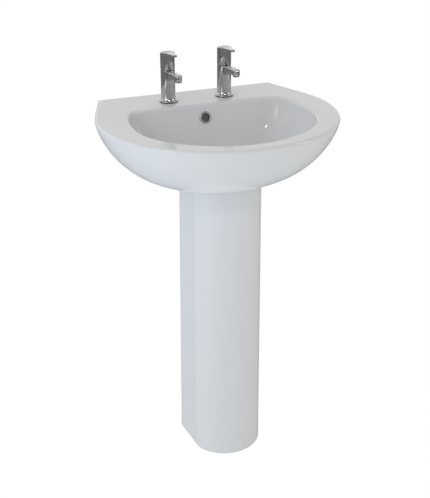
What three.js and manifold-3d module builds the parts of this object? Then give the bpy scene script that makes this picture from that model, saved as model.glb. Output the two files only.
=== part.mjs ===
// Pedestal basin with two lever taps, click waste and bottle trap.
// Millimetres, +Z up. The floor is z = 0, the wall face is at +Y, the front is at -Y.

import * as THREE from 'three';
import { mergeVertices } from 'three/addons/utils/BufferGeometryUtils.js';
import Module from 'manifold-3d';

const wasm = await Module();
wasm.setup();

// ---------------------------------------------------------------- driving dimensions

// Clearance between pieces that touch, and how far a cutting shape runs past a face
const GAP = 0.3;
const OVERCUT = 5;

// Basin
const BASIN_WIDTH = 550;
const BASIN_DEPTH = 475;
const RIM_HEIGHT = 850;
const HALF_DEPTH = BASIN_DEPTH / 2;
const RIM_EDGE_RADIUS = 6;
const HULL_DROP = 147;
const HULL_BASE = RIM_HEIGHT - RIM_EDGE_RADIUS - HULL_DROP - 2 * OVERCUT;
const HULL_CENTRE_Y = 74;
const HULL_BOTTOM_SCALE = 0.124;
const HULL_POWERS = { fall: 1.341, round: 3.02 };
const HULL_FOOT = { y: 94, halfWidth: 27 };
const BACK_WALL_SCALE = 0.6;
const BACK_WALL_FOOT_HALF_WIDTH = 105;
const BOWL_DEPTH = 134;
const BOWL_LIP_RADIUS = 7;
const BOWL_BOTTOM_SCALE = 0.17;
const BOWL_POWERS = { fall: 1.8, round: 2.4 };
const BOWL_CORNER_GROWTH = 0.16;
const DECK_THICKNESS = 16;
const BACK_WALL_THICKNESS = 12;
const CAVITY_SIDE_WALL = 14;
const CAVITY_BOWL_WALL = 13;
const CAVITY_FRONT_LIMIT = 64;
const CAVITY_DEPTHS = [DECK_THICKNESS, 50, 80, 105, 125, 135, 160];
const SPINE_HALF_WIDTH = 28;

// How finely the lofted surfaces are stepped
const HULL_STEPS = 11;
const BOWL_STEPS = 11;
const EDGE_STEPS = 3;

// Plan of the rim at its outer edge, right half: back corner, widest point, front
const RIM_PLAN = {
  back: HALF_DEPTH,
  backHalf: 220,
  splay: 0.3,
  half: BASIN_WIDTH / 2,
  widest: 41,
  front: -HALF_DEPTH,
  sideStart: 69,
  sideEnd: 47.5,
  bowStart: 173,
  bowEnd: 151,
  cornerRound: 4,
};

// Plan of the bowl's mouth, right half
const BOWL_PLAN = {
  back: 109,
  backHalf: 172,
  splay: 0.956,
  half: 205.3,
  widest: -22.5,
  front: -200.8,
  sideStart: 33.7,
  sideEnd: 42.7,
  bowStart: 95.8,
  bowEnd: 104.5,
  cornerRound: 14,
};

// Overflow
const OVERFLOW_DEPTH = 31;
const OVERFLOW_HOLE_RADIUS = 12.2;
const OVERFLOW_RING_RADIUS = 14.2;
const OVERFLOW_HOLE_DEPTH = 12;
const CHANNEL_WIDTH = 24;
const CHANNEL_THICKNESS = 7;
const CHANNEL_STEPS = 18;
const CHANNEL_BEHIND_BOWL = [[20, 9], [45, 8], [80, 9], [110, 11]]; // depth below the rim, distance
const CHANNEL_FOOT = [[44, 718], [24, 706.5], [4, 704.3]]; // y, z
const OVERFLOW_RING = { wall: 1.9, sleeve: 9, seat: 0.9, rise: 2.8 };

// Waste
const WASTE_Y = -15;
const WASTE_HOLE_RADIUS = 23;
const WASTE_SEAT = 711.5;
const WASTE_RECESS_RADIUS = 33;
const WASTE_BOSS_RADIUS = 36;
const WASTE_BOSS_BOTTOM = 696;
const WASTE_BOSS_HEIGHT = 9;
const TAIL_RADIUS = 20.8;
const TAIL_BORE = 17.8;
const TAIL_END = 652;
const FLANGE_UNDERSIDE = WASTE_SEAT + 2.2;
const SLOT = { halfWidth: 8, low: 700.5, high: 708 };
const SPIDER = { low: 686, high: 696, radius: 9.5, barHalf: 3 };
const CARTRIDGE = { radius: 6.2, low: 683, top: 709, bore: 3.1, floor: 689.5 };
const WASTE_NUT = { low: 676, top: 688.2, radius: 29, wingTop: 685, wingReach: 34 };
const CAP_BOTTOM = 726;
const CAP_RADIUS = 26;
const PLUG_SEAL = { inner: 18.5, outer: 23, depth: 2.2 };
const PLUG_TRAVEL = 8;
const PLUG_STEM = { radius: 2.7, plateRadius: 17.5, restLow: 699 };

// Bottle trap
const TRAP_HEAD_TOP = 634;
const TRAP_HEAD_BOTTOM = 576;
const TRAP_HEAD_RADIUS = 30;
const TRAP_OUTLET_HEIGHT = 612;
const TRAP_OUTLET_RADIUS = 19;
const TRAP_CUP_BOTTOM = 526;
const TRAP_CUP_RADIUS = 31;
const TRAP_COLLAR_RADIUS = 34;
const TRAP_WALL = 3;
const INLET_COLLAR_TOP = TAIL_END - 2.7;
const INLET_COLLAR_HEIGHT = 6;
const INLET_COLLAR_RADIUS = 20.6;
const NECK_RADIUS = 17.4;
const NECK_BORE = 14;
const DIP_TUBE = { bore: 11, low: 542, rise: 8 };
const OUTLET_END = 57;
const INLET_NUT = { radius: 26, low: 638, high: 668 };
const OUTLET_NUT = { radius: 24, bore: 16.5, low: 44, lip: 3.6, high: 66 };
const NUT_RIBS = { count: 8, halfWidth: 2.5, height: 2, margin: 3 };

// Pedestal
const PEDESTAL_WALL = 12;
const PEDESTAL_BACK = 76.5;
const PEDESTAL_BACK_LEAN = 18;
const PEDESTAL_SIDE_TAPER = 4;
const PEDESTAL_PLAN = {
  back: PEDESTAL_BACK,
  backHalf: 90.5,
  splay: -0.05,
  half: 85.2,
  widest: -22.7,
  front: -95.9,
  sideStart: 30,
  sideEnd: 30,
  bowStart: 38,
  bowEnd: 45,
  cornerRound: 2,
};
const PEDESTAL_TOP = 720;
const BRIDGE = { half: 80, front: 46, back: 58, low: 120, high: 145 };
const LUG = { near: 44, far: 80, front: 34, back: 66, height: 14 };
const FLOOR_HOLE = { x: 60, y: 50, radius: 5.2 };
const WALL_HOLE = { x: 140, z: 790, radius: 7 };
const COLLAR_FLANGE = { thickness: 2.5, edge: 1.6 };
const WALL_COLLAR = { flangeRadius: 11, bore: 4.6, length: 11 };
const FLOOR_COLLAR = { flangeRadius: 9.5, bore: 3.4, length: 11 };

// Taps, heights above the deck
const TAP_SPACING = 140;
const TAP_Y = 163;
const TAP_HOLE_RADIUS = 15;
const TAP_FLANGE_RADIUS = 21.8;
const TAP_RADIUS = 16.6;
const TAP_BODY_BOTTOM = 1.8;
const TAP_BODY_TOP = 74;
const TAP_CHAMBER_FLOOR = 38;
const TAP_CHAMBER_RADIUS = 12.5;
const FOOT_FLARE = { reach: 4.4, rise: 9, steps: 4 };
const SPOUT_WIDTH = 17;
const SPOUT_REACH = 82;
const NOZZLE_Y = -73.5;
const NOZZLE_BOTTOM = 64;
const NOZZLE_BORE = 6.8;
const SPOUT_RISE = 4;
const WATERWAY_RADIUS = 3.2;
const AERATOR = { bore: 5, radius: 7.8, drop: 2.6, rise: 7 };
const LEVER_BOTTOM = 75.3;
const LEVER_TOP = 114.8;
const LEVER_PLATE_THICKNESS = 6.5;
const LEVER_REACH = 57;
const LEVER_TILT = 0.075;
const LEVER_CROWN = 2.2;
const LEVER_TIP_RADIUS = 5.2;
const HUB_BORE = 13.2;
const SPINDLE = { radius: 4, foot: 8.6, low: 46, top: 98 };
const LEVER_SCREW = { radius: 2, height: 91 };
const TAP_TAIL_RADIUS = 10.3;
const TAP_TAIL_BORE = 6;
const TAP_TAIL_LENGTH = 60;
const TAP_SOCKET_DEPTH = 12;
const TOP_HAT = { radius: 21, flange: 2.5, sleeveTop: -5 };
const BASE_GASKET = { inner: 16, outer: 21 };
const VALVE_BODY = { radius: 12.2, bore: 9.6, floor: 52, neckRadius: 10.5, neckBore: 4.4, neckRise: 6 };
const FIXED_DISC = { radius: 9.3, low: 39, thickness: 3 };
const MOVING_DISC = { radius: 9.2, low: 42.3, thickness: 3.3 };
const BACK_NUT = { acrossFlats: 30, low: -31, hexTop: -21.5, top: -19.2, radius: 19 };

// ---------------------------------------------------------------- materials

function finish(color, roughness, metalness) {
  return () => new THREE.MeshStandardMaterial({ color, roughness, metalness });
}

const glazedCeramic = finish(0xe8ebee, 0.15, 0);
const chrome = finish(0xb8bcc2, 0.08, 1);
const brass = finish(0xb8975a, 0.35, 1);
const steel = finish(0x9a9da0, 0.3, 1);
const rubber = finish(0x1c1c1d, 0.8, 0);
const whitePlastic = finish(0xeeeeea, 0.45, 0);
const nylon = finish(0xd9d8d0, 0.6, 0);
const discCeramic = finish(0xf2efe6, 0.25, 0);

// ---------------------------------------------------------------- solids

// Volume enclosed by an indexed geometry; negative when its faces point inwards.
function signedVolume(positions, index) {
  const a = new THREE.Vector3();
  const b = new THREE.Vector3();
  const c = new THREE.Vector3();
  let volume = 0;
  for (let i = 0; i < index.length; i += 3) {
    a.fromArray(positions, index[i] * 3);
    b.fromArray(positions, index[i + 1] * 3);
    c.fromArray(positions, index[i + 2] * 3);
    volume += a.dot(b.cross(c)) / 6;
  }
  return volume;
}

// A closed three.js geometry as a solid that can be joined and cut.
function solid(geometry) {
  const bare = new THREE.BufferGeometry();
  bare.setAttribute('position', geometry.getAttribute('position'));
  if (geometry.index) bare.setIndex(geometry.index);
  const merged = mergeVertices(bare, 1e-4);
  const source = merged.index.array;
  const triangles = [];
  for (let i = 0; i < source.length; i += 3) {
    const [a, b, c] = [source[i], source[i + 1], source[i + 2]];
    if (a !== b && b !== c && c !== a) triangles.push(a, b, c);
  }
  const vertProperties = merged.getAttribute('position').array;
  if (signedVolume(vertProperties, triangles) < 0) triangles.reverse();
  const triVerts = Uint32Array.from(triangles);
  return new wasm.Manifold(new wasm.Mesh({ numProp: 3, vertProperties, triVerts }));
}

function geometryOf(body) {
  const { vertProperties, triVerts } = body.getMesh();
  const geometry = new THREE.BufferGeometry();
  geometry.setAttribute('position', new THREE.BufferAttribute(vertProperties, 3));
  geometry.setIndex(new THREE.BufferAttribute(triVerts, 1));
  geometry.computeVertexNormals();
  return geometry;
}

function joined(first, ...others) {
  return others.reduce((sum, other) => sum.add(other), first);
}

function cut(body, ...tools) {
  return tools.reduce((rest, tool) => rest.subtract(tool), body);
}

function part(name, body, material) {
  const mesh = new THREE.Mesh(geometryOf(body), material());
  mesh.name = name;
  return mesh;
}

// ---------------------------------------------------------------- basic shapes

// Solid of revolution about +Z from [radius, height] pairs.
// The profile starts and ends on the axis; one that doesn't is closed on itself.
function turned(profile, segments = 20) {
  const points = profile.map(([radius, height]) => new THREE.Vector2(radius, height));
  const onAxis = points[0].x === 0 && points[points.length - 1].x === 0;
  if (!onAxis) points.push(points[0].clone());
  return solid(new THREE.LatheGeometry(points, segments).rotateX(Math.PI / 2));
}

function tube(inner, outer, low, high, segments) {
  return turned([[inner, low], [outer, low], [outer, high], [inner, high]], segments);
}

function rod(radius, low, high, segments) {
  return turned([[0, low], [radius, low], [radius, high], [0, high]], segments);
}

function placed(body, x, y, z) {
  return body.translate([x, y, z]);
}

// A body turned about +Z, laid so that its axis runs along +Y.
function alongY(body) {
  return body.rotate([-90, 0, 0]);
}

function box(x0, x1, y0, y1, z0, z1) {
  const geometry = new THREE.BoxGeometry(x1 - x0, y1 - y0, z1 - z0);
  geometry.translate((x0 + x1) / 2, (y0 + y1) / 2, (z0 + z1) / 2);
  return solid(geometry);
}

// Upright prism on a plan of points in X and Y.
function prism(plan, low, high) {
  const shape = new THREE.Shape(plan.map(([x, y]) => new THREE.Vector2(x, y)));
  const geometry = new THREE.ExtrudeGeometry(shape, { depth: high - low, bevelEnabled: false });
  return solid(geometry.translate(0, 0, low));
}

// Prism along X on a section of points in Y and Z.
function prismAlongX(section, low, high) {
  const shape = new THREE.Shape(section.map(([y, z]) => new THREE.Vector2(y, z)));
  const geometry = new THREE.ExtrudeGeometry(shape, { depth: high - low, bevelEnabled: false });
  const basis = new THREE.Matrix4().makeBasis(
    new THREE.Vector3(0, 1, 0),
    new THREE.Vector3(0, 0, 1),
    new THREE.Vector3(1, 0, 0),
  );
  return solid(geometry.applyMatrix4(basis).translate(low, 0, 0));
}

// Prism along Y on a section of points in X and Z.
function prismAlongY(section, low, high) {
  const shape = new THREE.Shape(section.map(([x, z]) => new THREE.Vector2(x, z)));
  const geometry = new THREE.ExtrudeGeometry(shape, { depth: high - low, bevelEnabled: false });
  const basis = new THREE.Matrix4().makeBasis(
    new THREE.Vector3(1, 0, 0),
    new THREE.Vector3(0, 0, 1),
    new THREE.Vector3(0, -1, 0),
  );
  return solid(geometry.applyMatrix4(basis).translate(0, high, 0));
}

function hexNut(acrossFlats, bore, low, high) {
  const radius = acrossFlats / Math.sqrt(3);
  const blank = rod(radius, low, high, 6);
  return cut(blank, rod(bore, low - OVERCUT, high + OVERCUT));
}

// ---------------------------------------------------------------- plans and lofts

// Half outline from the back corner round the side to the middle of the front.
function halfOutline(plan, sideSteps, bowSteps) {
  const round = plan.cornerRound;
  const corner = new THREE.Vector2(plan.backHalf, plan.back);
  const leaving = new THREE.Vector2(Math.sin(plan.splay), -Math.cos(plan.splay));
  const widest = new THREE.Vector2(plan.half, plan.widest);
  const side = new THREE.CubicBezierCurve(
    corner,
    corner.clone().addScaledVector(leaving, plan.sideStart),
    new THREE.Vector2(plan.half, plan.widest + plan.sideEnd),
    widest,
  );
  const bow = new THREE.CubicBezierCurve(
    widest,
    new THREE.Vector2(plan.half, plan.widest - plan.bowStart),
    new THREE.Vector2(plan.bowEnd, plan.front),
    new THREE.Vector2(0, plan.front),
  );
  const start = round / side.getLength();
  const before = new THREE.Vector2(plan.backHalf - round, plan.back);
  const turn = new THREE.QuadraticBezierCurve(before, corner, side.getPointAt(start));
  const sidePoints = [];
  for (let i = 1; i <= sideSteps; i += 1) {
    sidePoints.push(side.getPointAt(Math.min(start + ((1 - start) * i) / sideSteps, 1)));
  }
  return [...turn.getPoints(3), ...sidePoints, ...bow.getPoints(bowSteps).slice(1)];
}

function outline(plan, sideSteps = 5, bowSteps = 14) {
  const right = halfOutline(plan, sideSteps, bowSteps);
  const left = right.slice(0, -1).reverse().map((p) => new THREE.Vector2(-p.x, p.y));
  return [...right, ...left];
}

// The same plan, drawn in towards a point on the centre line.
function scaledPlan(plan, scale, centreY) {
  const pull = (y) => centreY + (y - centreY) * scale;
  return {
    ...plan,
    back: pull(plan.back),
    backHalf: plan.backHalf * scale,
    half: plan.half * scale,
    widest: pull(plan.widest),
    front: pull(plan.front),
    sideStart: plan.sideStart * scale,
    sideEnd: plan.sideEnd * scale,
    bowStart: plan.bowStart * scale,
    bowEnd: plan.bowEnd * scale,
    cornerRound: plan.cornerRound * scale,
  };
}

// The same plan, moved in by an even margin.
function insetPlan(plan, margin) {
  const scale = (plan.half - margin) / plan.half;
  const centreY = (plan.back + plan.front) / 2;
  const inner = scaledPlan(plan, scale, centreY);
  return { ...inner, back: plan.back - margin, front: plan.front + margin };
}

function ring(plan, height) {
  return outline(plan).map((p) => new THREE.Vector3(p.x, p.y, height));
}

// Closed skin through rings of equal point counts, with a fan over each end.
function loft(rings) {
  const count = rings[0].length;
  const points = rings.flat();
  const index = [];
  for (let level = 0; level + 1 < rings.length; level += 1) {
    for (let i = 0; i < count; i += 1) {
      const a = level * count + i;
      const b = level * count + ((i + 1) % count);
      index.push(a, b, a + count, b, b + count, a + count);
    }
  }
  const fan = (first, flip) => {
    const middle = new THREE.Vector3();
    for (let i = 0; i < count; i += 1) middle.add(points[first + i]);
    points.push(middle.divideScalar(count));
    for (let i = 0; i < count; i += 1) {
      const a = first + i;
      const b = first + ((i + 1) % count);
      index.push(...(flip ? [a, points.length - 1, b] : [a, b, points.length - 1]));
    }
  };
  fan(0, true);
  fan((rings.length - 1) * count, false);
  const geometry = new THREE.BufferGeometry().setFromPoints(points);
  geometry.setIndex(index);
  return solid(geometry);
}

// ---------------------------------------------------------------- basin

// Scale of the hull's plan at a depth below the rim's edge roll.
function hullScale(depth) {
  const fall = Math.min(depth / HULL_DROP, 1) ** HULL_POWERS.fall;
  const curve = (1 - fall) ** (1 / HULL_POWERS.round);
  return HULL_BOTTOM_SCALE + (1 - HULL_BOTTOM_SCALE) * curve;
}

// Half-width of the flat back wall for a hull scale.
function backHalfWidth(scale) {
  const { mapLinear } = THREE.MathUtils;
  const middle = BACK_WALL_FOOT_HALF_WIDTH;
  const upper = mapLinear(scale, BACK_WALL_SCALE, 1, middle, RIM_PLAN.backHalf);
  const lower = mapLinear(scale, HULL_BOTTOM_SCALE, BACK_WALL_SCALE, HULL_FOOT.halfWidth, middle);
  return scale > BACK_WALL_SCALE ? upper : lower;
}

function hullPlan(scale) {
  const plan = scaledPlan(RIM_PLAN, scale, HULL_CENTRE_Y);
  const { mapLinear } = THREE.MathUtils;
  const back = mapLinear(scale, HULL_BOTTOM_SCALE, BACK_WALL_SCALE, HULL_FOOT.y, HALF_DEPTH);
  return { ...plan, back: Math.min(back, HALF_DEPTH), backHalf: backHalfWidth(scale) };
}

function hull() {
  const rings = [];
  for (let i = 0; i < EDGE_STEPS; i += 1) {
    const angle = (i / EDGE_STEPS) * (Math.PI / 2);
    const margin = RIM_EDGE_RADIUS * (1 - Math.sin(angle));
    const height = RIM_HEIGHT - RIM_EDGE_RADIUS * (1 - Math.cos(angle));
    rings.push(ring(insetPlan(RIM_PLAN, margin), height));
  }
  for (let i = 0; i <= HULL_STEPS; i += 1) {
    const depth = HULL_DROP * Math.sin((i / HULL_STEPS) * (Math.PI / 2));
    rings.push(ring(hullPlan(hullScale(depth)), RIM_HEIGHT - RIM_EDGE_RADIUS - depth));
  }
  return loft(rings);
}

// Scale of the bowl's plan at a depth below the rim.
function bowlScale(depth) {
  const fall = Math.max(depth - BOWL_LIP_RADIUS, 0) / (BOWL_DEPTH - BOWL_LIP_RADIUS);
  const curve = (1 - Math.min(fall, 1) ** BOWL_POWERS.fall) ** (1 / BOWL_POWERS.round);
  return BOWL_BOTTOM_SCALE + (1 - BOWL_BOTTOM_SCALE) * curve;
}

function bowlBackWall(depth) {
  return WASTE_Y + (BOWL_PLAN.back - WASTE_Y) * bowlScale(depth);
}

// Plan of the bowl at a depth below the rim. Its back corners grow rounder further down.
function bowlPlan(depth) {
  const scale = bowlScale(depth);
  const plan = scaledPlan(BOWL_PLAN, scale, WASTE_Y);
  return { ...plan, cornerRound: plan.cornerRound + BOWL_CORNER_GROWTH * depth * scale };
}

function bowl() {
  const mouth = insetPlan(BOWL_PLAN, -BOWL_LIP_RADIUS);
  const rings = [ring(mouth, RIM_HEIGHT + OVERCUT)];
  for (let i = 0; i < EDGE_STEPS; i += 1) {
    const angle = (i / EDGE_STEPS) * (Math.PI / 2);
    const margin = -BOWL_LIP_RADIUS * (1 - Math.sin(angle));
    const height = RIM_HEIGHT - BOWL_LIP_RADIUS * (1 - Math.cos(angle));
    rings.push(ring(insetPlan(BOWL_PLAN, margin), height));
  }
  const fall = BOWL_DEPTH - BOWL_LIP_RADIUS;
  for (let i = 0; i <= BOWL_STEPS; i += 1) {
    const depth = BOWL_LIP_RADIUS + fall * Math.sin((i / BOWL_STEPS) * (Math.PI / 2));
    rings.push(ring(bowlPlan(depth), RIM_HEIGHT - depth));
  }
  return loft(rings);
}

// Service space behind the bowl on one side, open below, between the deck, the
// back wall, the bowl and the central spine.
function serviceCavity(side) {
  const top = RIM_HEIGHT - DECK_THICKNESS;
  const outer = CAVITY_DEPTHS.map((depth) => {
    const scale = Math.max(hullScale(depth - RIM_EDGE_RADIUS), BACK_WALL_SCALE);
    return [side * (backHalfWidth(scale) - CAVITY_SIDE_WALL), RIM_HEIGHT - depth];
  });
  const bottom = outer[outer.length - 1][1];
  const across = [[side * SPINE_HALF_WIDTH, bottom], [side * SPINE_HALF_WIDTH, top], ...outer];
  const wall = CAVITY_DEPTHS.map((depth) => {
    const front = Math.max(bowlBackWall(depth) + CAVITY_BOWL_WALL, CAVITY_FRONT_LIMIT);
    return [front, RIM_HEIGHT - depth];
  });
  const back = HALF_DEPTH - BACK_WALL_THICKNESS;
  const section = [...wall, [back, bottom], [back, top]];
  const reach = BASIN_WIDTH / 2;
  return prismAlongY(across, 0, HALF_DEPTH).intersect(prismAlongX(section, -reach, reach));
}

// Water passage from the overflow, down behind the bowl, to the side of the waste hole.
function overflowChannel() {
  const upper = CHANNEL_BEHIND_BOWL.map(([depth, behind]) => (
    [bowlBackWall(depth) + behind, RIM_HEIGHT - depth]
  ));
  const route = [...upper, ...CHANNEL_FOOT].map(([y, z]) => new THREE.Vector3(0, y, z));
  const path = new THREE.CatmullRomCurve3(route);
  const near = [];
  const far = [];
  for (let i = 0; i <= CHANNEL_STEPS; i += 1) {
    const at = path.getPoint(i / CHANNEL_STEPS);
    const along = path.getTangent(i / CHANNEL_STEPS);
    const across = new THREE.Vector3(0, -along.z, along.y).multiplyScalar(CHANNEL_THICKNESS / 2);
    near.push([at.y + across.y, at.z + across.z]);
    far.unshift([at.y - across.y, at.z - across.z]);
  }
  return prismAlongX([...near, ...far], -CHANNEL_WIDTH / 2, CHANNEL_WIDTH / 2);
}

// Slope of the bowl's back wall at the overflow, in degrees off upright.
function overflowTilt() {
  const reach = OVERFLOW_HOLE_RADIUS;
  const run = bowlBackWall(OVERFLOW_DEPTH - reach) - bowlBackWall(OVERFLOW_DEPTH + reach);
  return THREE.MathUtils.radToDeg(Math.atan(run / (2 * reach)));
}

// A body turned about +Z, moved to the overflow with +Z pointing into the bowl.
function atOverflow(body) {
  const turnedIn = body.rotate([90 - overflowTilt(), 0, 0]);
  return placed(turnedIn, 0, bowlBackWall(OVERFLOW_DEPTH), RIM_HEIGHT - OVERFLOW_DEPTH);
}

function basin() {
  const bossTop = WASTE_BOSS_BOTTOM + WASTE_BOSS_HEIGHT;
  const bowlFloor = RIM_HEIGHT - BOWL_DEPTH;
  const boss = placed(rod(WASTE_BOSS_RADIUS, WASTE_BOSS_BOTTOM, bossTop, 28), 0, WASTE_Y, 0);
  const recess = placed(rod(WASTE_RECESS_RADIUS, WASTE_SEAT, bowlFloor + OVERCUT, 28), 0, WASTE_Y, 0);
  const wasteHole = placed(rod(WASTE_HOLE_RADIUS, HULL_BASE, bowlFloor + OVERCUT, 28), 0, WASTE_Y, 0);
  const overflowHole = atOverflow(rod(OVERFLOW_HOLE_RADIUS, -OVERFLOW_HOLE_DEPTH, 2 * OVERCUT));
  const tools = [bowl(), recess, wasteHole, overflowHole, overflowChannel()];
  for (const side of [-1, 1]) {
    const tapHole = rod(TAP_HOLE_RADIUS, RIM_HEIGHT - 2 * DECK_THICKNESS, RIM_HEIGHT + OVERCUT);
    const wallHole = alongY(rod(WALL_HOLE.radius, -2 * BACK_WALL_THICKNESS, OVERCUT, 20));
    tools.push(serviceCavity(side));
    tools.push(placed(tapHole, (side * TAP_SPACING) / 2, TAP_Y, 0));
    tools.push(placed(wallHole, side * WALL_HOLE.x, HALF_DEPTH, WALL_HOLE.z));
  }
  return cut(joined(hull(), boss), ...tools);
}

function overflowRing() {
  const { wall, sleeve, seat, rise } = OVERFLOW_RING;
  const outside = OVERFLOW_HOLE_RADIUS - GAP;
  const bore = outside - wall;
  return atOverflow(turned([
    [bore, -sleeve],
    [outside, -sleeve],
    [outside, seat],
    [OVERFLOW_RING_RADIUS, seat],
    [OVERFLOW_RING_RADIUS, rise - 1],
    [OVERFLOW_RING_RADIUS - 1, rise],
    [bore + 1, rise],
    [bore, rise - 1],
  ], 32));
}

// Nylon collar with its flange at the top and its sleeve below, on +Z.
function collar(flangeRadius, sleeveRadius, bore, length) {
  return turned([
    [bore, -length],
    [sleeveRadius, -length],
    [sleeveRadius, 0],
    [flangeRadius, 0],
    [flangeRadius, COLLAR_FLANGE.edge],
    [flangeRadius - 1, COLLAR_FLANGE.thickness],
    [bore, COLLAR_FLANGE.thickness],
  ], 20);
}

function wallCollar(side) {
  const { flangeRadius, bore, length } = WALL_COLLAR;
  const facing = collar(flangeRadius, WALL_HOLE.radius - GAP, bore, length).rotate([90, 0, 0]);
  const wallFace = HALF_DEPTH - BACK_WALL_THICKNESS;
  return placed(facing, side * WALL_HOLE.x, wallFace - GAP, WALL_HOLE.z);
}

// ---------------------------------------------------------------- pedestal

function pedestal() {
  const headPlan = {
    ...PEDESTAL_PLAN,
    back: PEDESTAL_BACK - PEDESTAL_BACK_LEAN,
    backHalf: PEDESTAL_PLAN.backHalf - PEDESTAL_SIDE_TAPER,
    half: PEDESTAL_PLAN.half - PEDESTAL_SIDE_TAPER,
  };
  const outside = loft([ring(headPlan, PEDESTAL_TOP), ring(PEDESTAL_PLAN, 0)]);
  const hollow = (plan, height) => {
    const inner = insetPlan(plan, PEDESTAL_WALL);
    return ring({ ...inner, back: plan.back + OVERCUT }, height);
  };
  const inside = loft([
    hollow(headPlan, PEDESTAL_TOP + OVERCUT),
    hollow(headPlan, PEDESTAL_TOP),
    hollow(PEDESTAL_PLAN, 0),
    hollow(PEDESTAL_PLAN, -OVERCUT),
  ]);
  const bridge = box(-BRIDGE.half, BRIDGE.half, BRIDGE.front, BRIDGE.back, BRIDGE.low, BRIDGE.high);
  const bodies = [cut(outside, inside), bridge];
  const holes = [];
  for (const side of [-1, 1]) {
    const [low, high] = [side * LUG.near, side * LUG.far].sort((a, b) => a - b);
    bodies.push(box(low, high, LUG.front, LUG.back, 0, LUG.height));
    const hole = rod(FLOOR_HOLE.radius, -OVERCUT, LUG.height + OVERCUT, 20);
    holes.push(placed(hole, side * FLOOR_HOLE.x, FLOOR_HOLE.y, 0));
  }
  const seat = placed(hull(), 0, 0, -GAP);
  return cut(joined(...bodies), seat, ...holes);
}

function floorCollar(side) {
  const { flangeRadius, bore, length } = FLOOR_COLLAR;
  const body = collar(flangeRadius, FLOOR_HOLE.radius - GAP, bore, length);
  return placed(body, side * FLOOR_HOLE.x, FLOOR_HOLE.y, LUG.height + GAP);
}

// ---------------------------------------------------------------- waste

function wasteFlange() {
  const body = turned([
    [TAIL_BORE, TAIL_END],
    [TAIL_RADIUS, TAIL_END],
    [TAIL_RADIUS, FLANGE_UNDERSIDE],
    [31.5, FLANGE_UNDERSIDE],
    [31.5, WASTE_SEAT + 4],
    [30, WASTE_SEAT + 5.1],
    [28, WASTE_SEAT + 4.7],
    [20.5, WASTE_SEAT + 3.3],
    [TAIL_BORE, WASTE_SEAT + 1],
  ], 24);
  const [across, arm] = [TAIL_RADIUS + OVERCUT, TAIL_BORE + 1];
  const slot = box(-SLOT.halfWidth, SLOT.halfWidth, -across, across, SLOT.low, SLOT.high);
  const bar = box(-arm, arm, -SPIDER.barHalf, SPIDER.barHalf, SPIDER.low + 2, SPIDER.high - 1);
  const hub = rod(SPIDER.radius, SPIDER.low, SPIDER.high);
  const bore = rod(CARTRIDGE.radius + GAP, SPIDER.low - OVERCUT, SPIDER.high + OVERCUT);
  return cut(joined(cut(body, slot), bar, hub), bore);
}

function wasteBackNut() {
  const { low, top, radius, wingTop, wingReach } = WASTE_NUT;
  const nut = tube(TAIL_RADIUS + GAP, radius, low, top, 24);
  const wing = box(-5, 5, radius - 2, wingReach, low, wingTop);
  return joined(nut, ...[0, 90, 180, 270].map((angle) => wing.rotate([0, 0, angle])));
}

function clickCartridge() {
  return turned([
    [0, CARTRIDGE.low],
    [CARTRIDGE.radius, CARTRIDGE.low],
    [CARTRIDGE.radius, CARTRIDGE.top - 3],
    [CARTRIDGE.radius - 1, CARTRIDGE.top],
    [CARTRIDGE.bore, CARTRIDGE.top],
    [CARTRIDGE.bore, CARTRIDGE.floor],
    [0, CARTRIDGE.floor],
  ], 20);
}

function wasteParts() {
  const topSeal = tube(TAIL_RADIUS + 3, 30, WASTE_SEAT + GAP, FLANGE_UNDERSIDE - GAP, 24);
  const [underLow, underTop] = [WASTE_NUT.top + GAP, WASTE_BOSS_BOTTOM - GAP];
  const underSeal = tube(TAIL_RADIUS + GAP, WASTE_RECESS_RADIUS, underLow, underTop, 24);
  const cap = turned([
    [0, CAP_BOTTOM],
    [CAP_RADIUS - 1.5, CAP_BOTTOM],
    [CAP_RADIUS, CAP_BOTTOM + 1.2],
    [CAP_RADIUS - 0.5, CAP_BOTTOM + 3],
    [CAP_RADIUS - 6, CAP_BOTTOM + 5],
    [9, CAP_BOTTOM + 6.2],
    [0, CAP_BOTTOM + 6.4],
  ], 24);
  const sealLow = CAP_BOTTOM - PLUG_SEAL.depth;
  const plugSeal = tube(PLUG_SEAL.inner, PLUG_SEAL.outer, sealLow, CAP_BOTTOM - GAP, 24);
  const stem = turned([
    [0, PLUG_STEM.restLow],
    [PLUG_STEM.radius, PLUG_STEM.restLow],
    [PLUG_STEM.radius, CAP_BOTTOM - 4],
    [PLUG_STEM.plateRadius, CAP_BOTTOM - 2],
    [PLUG_STEM.plateRadius, CAP_BOTTOM - GAP],
    [0, CAP_BOTTOM - GAP],
  ], 24);
  return [
    part('waste_flange', wasteFlange(), chrome),
    part('waste_top_seal', topSeal, rubber),
    part('waste_bottom_seal', underSeal, rubber),
    part('waste_back_nut', wasteBackNut(), brass),
    part('click_cartridge', clickCartridge(), brass),
    part('plug_cap', cap, chrome),
    part('plug_seal', plugSeal, rubber),
    part('plug_stem', stem, brass),
  ];
}

// ---------------------------------------------------------------- bottle trap

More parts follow.
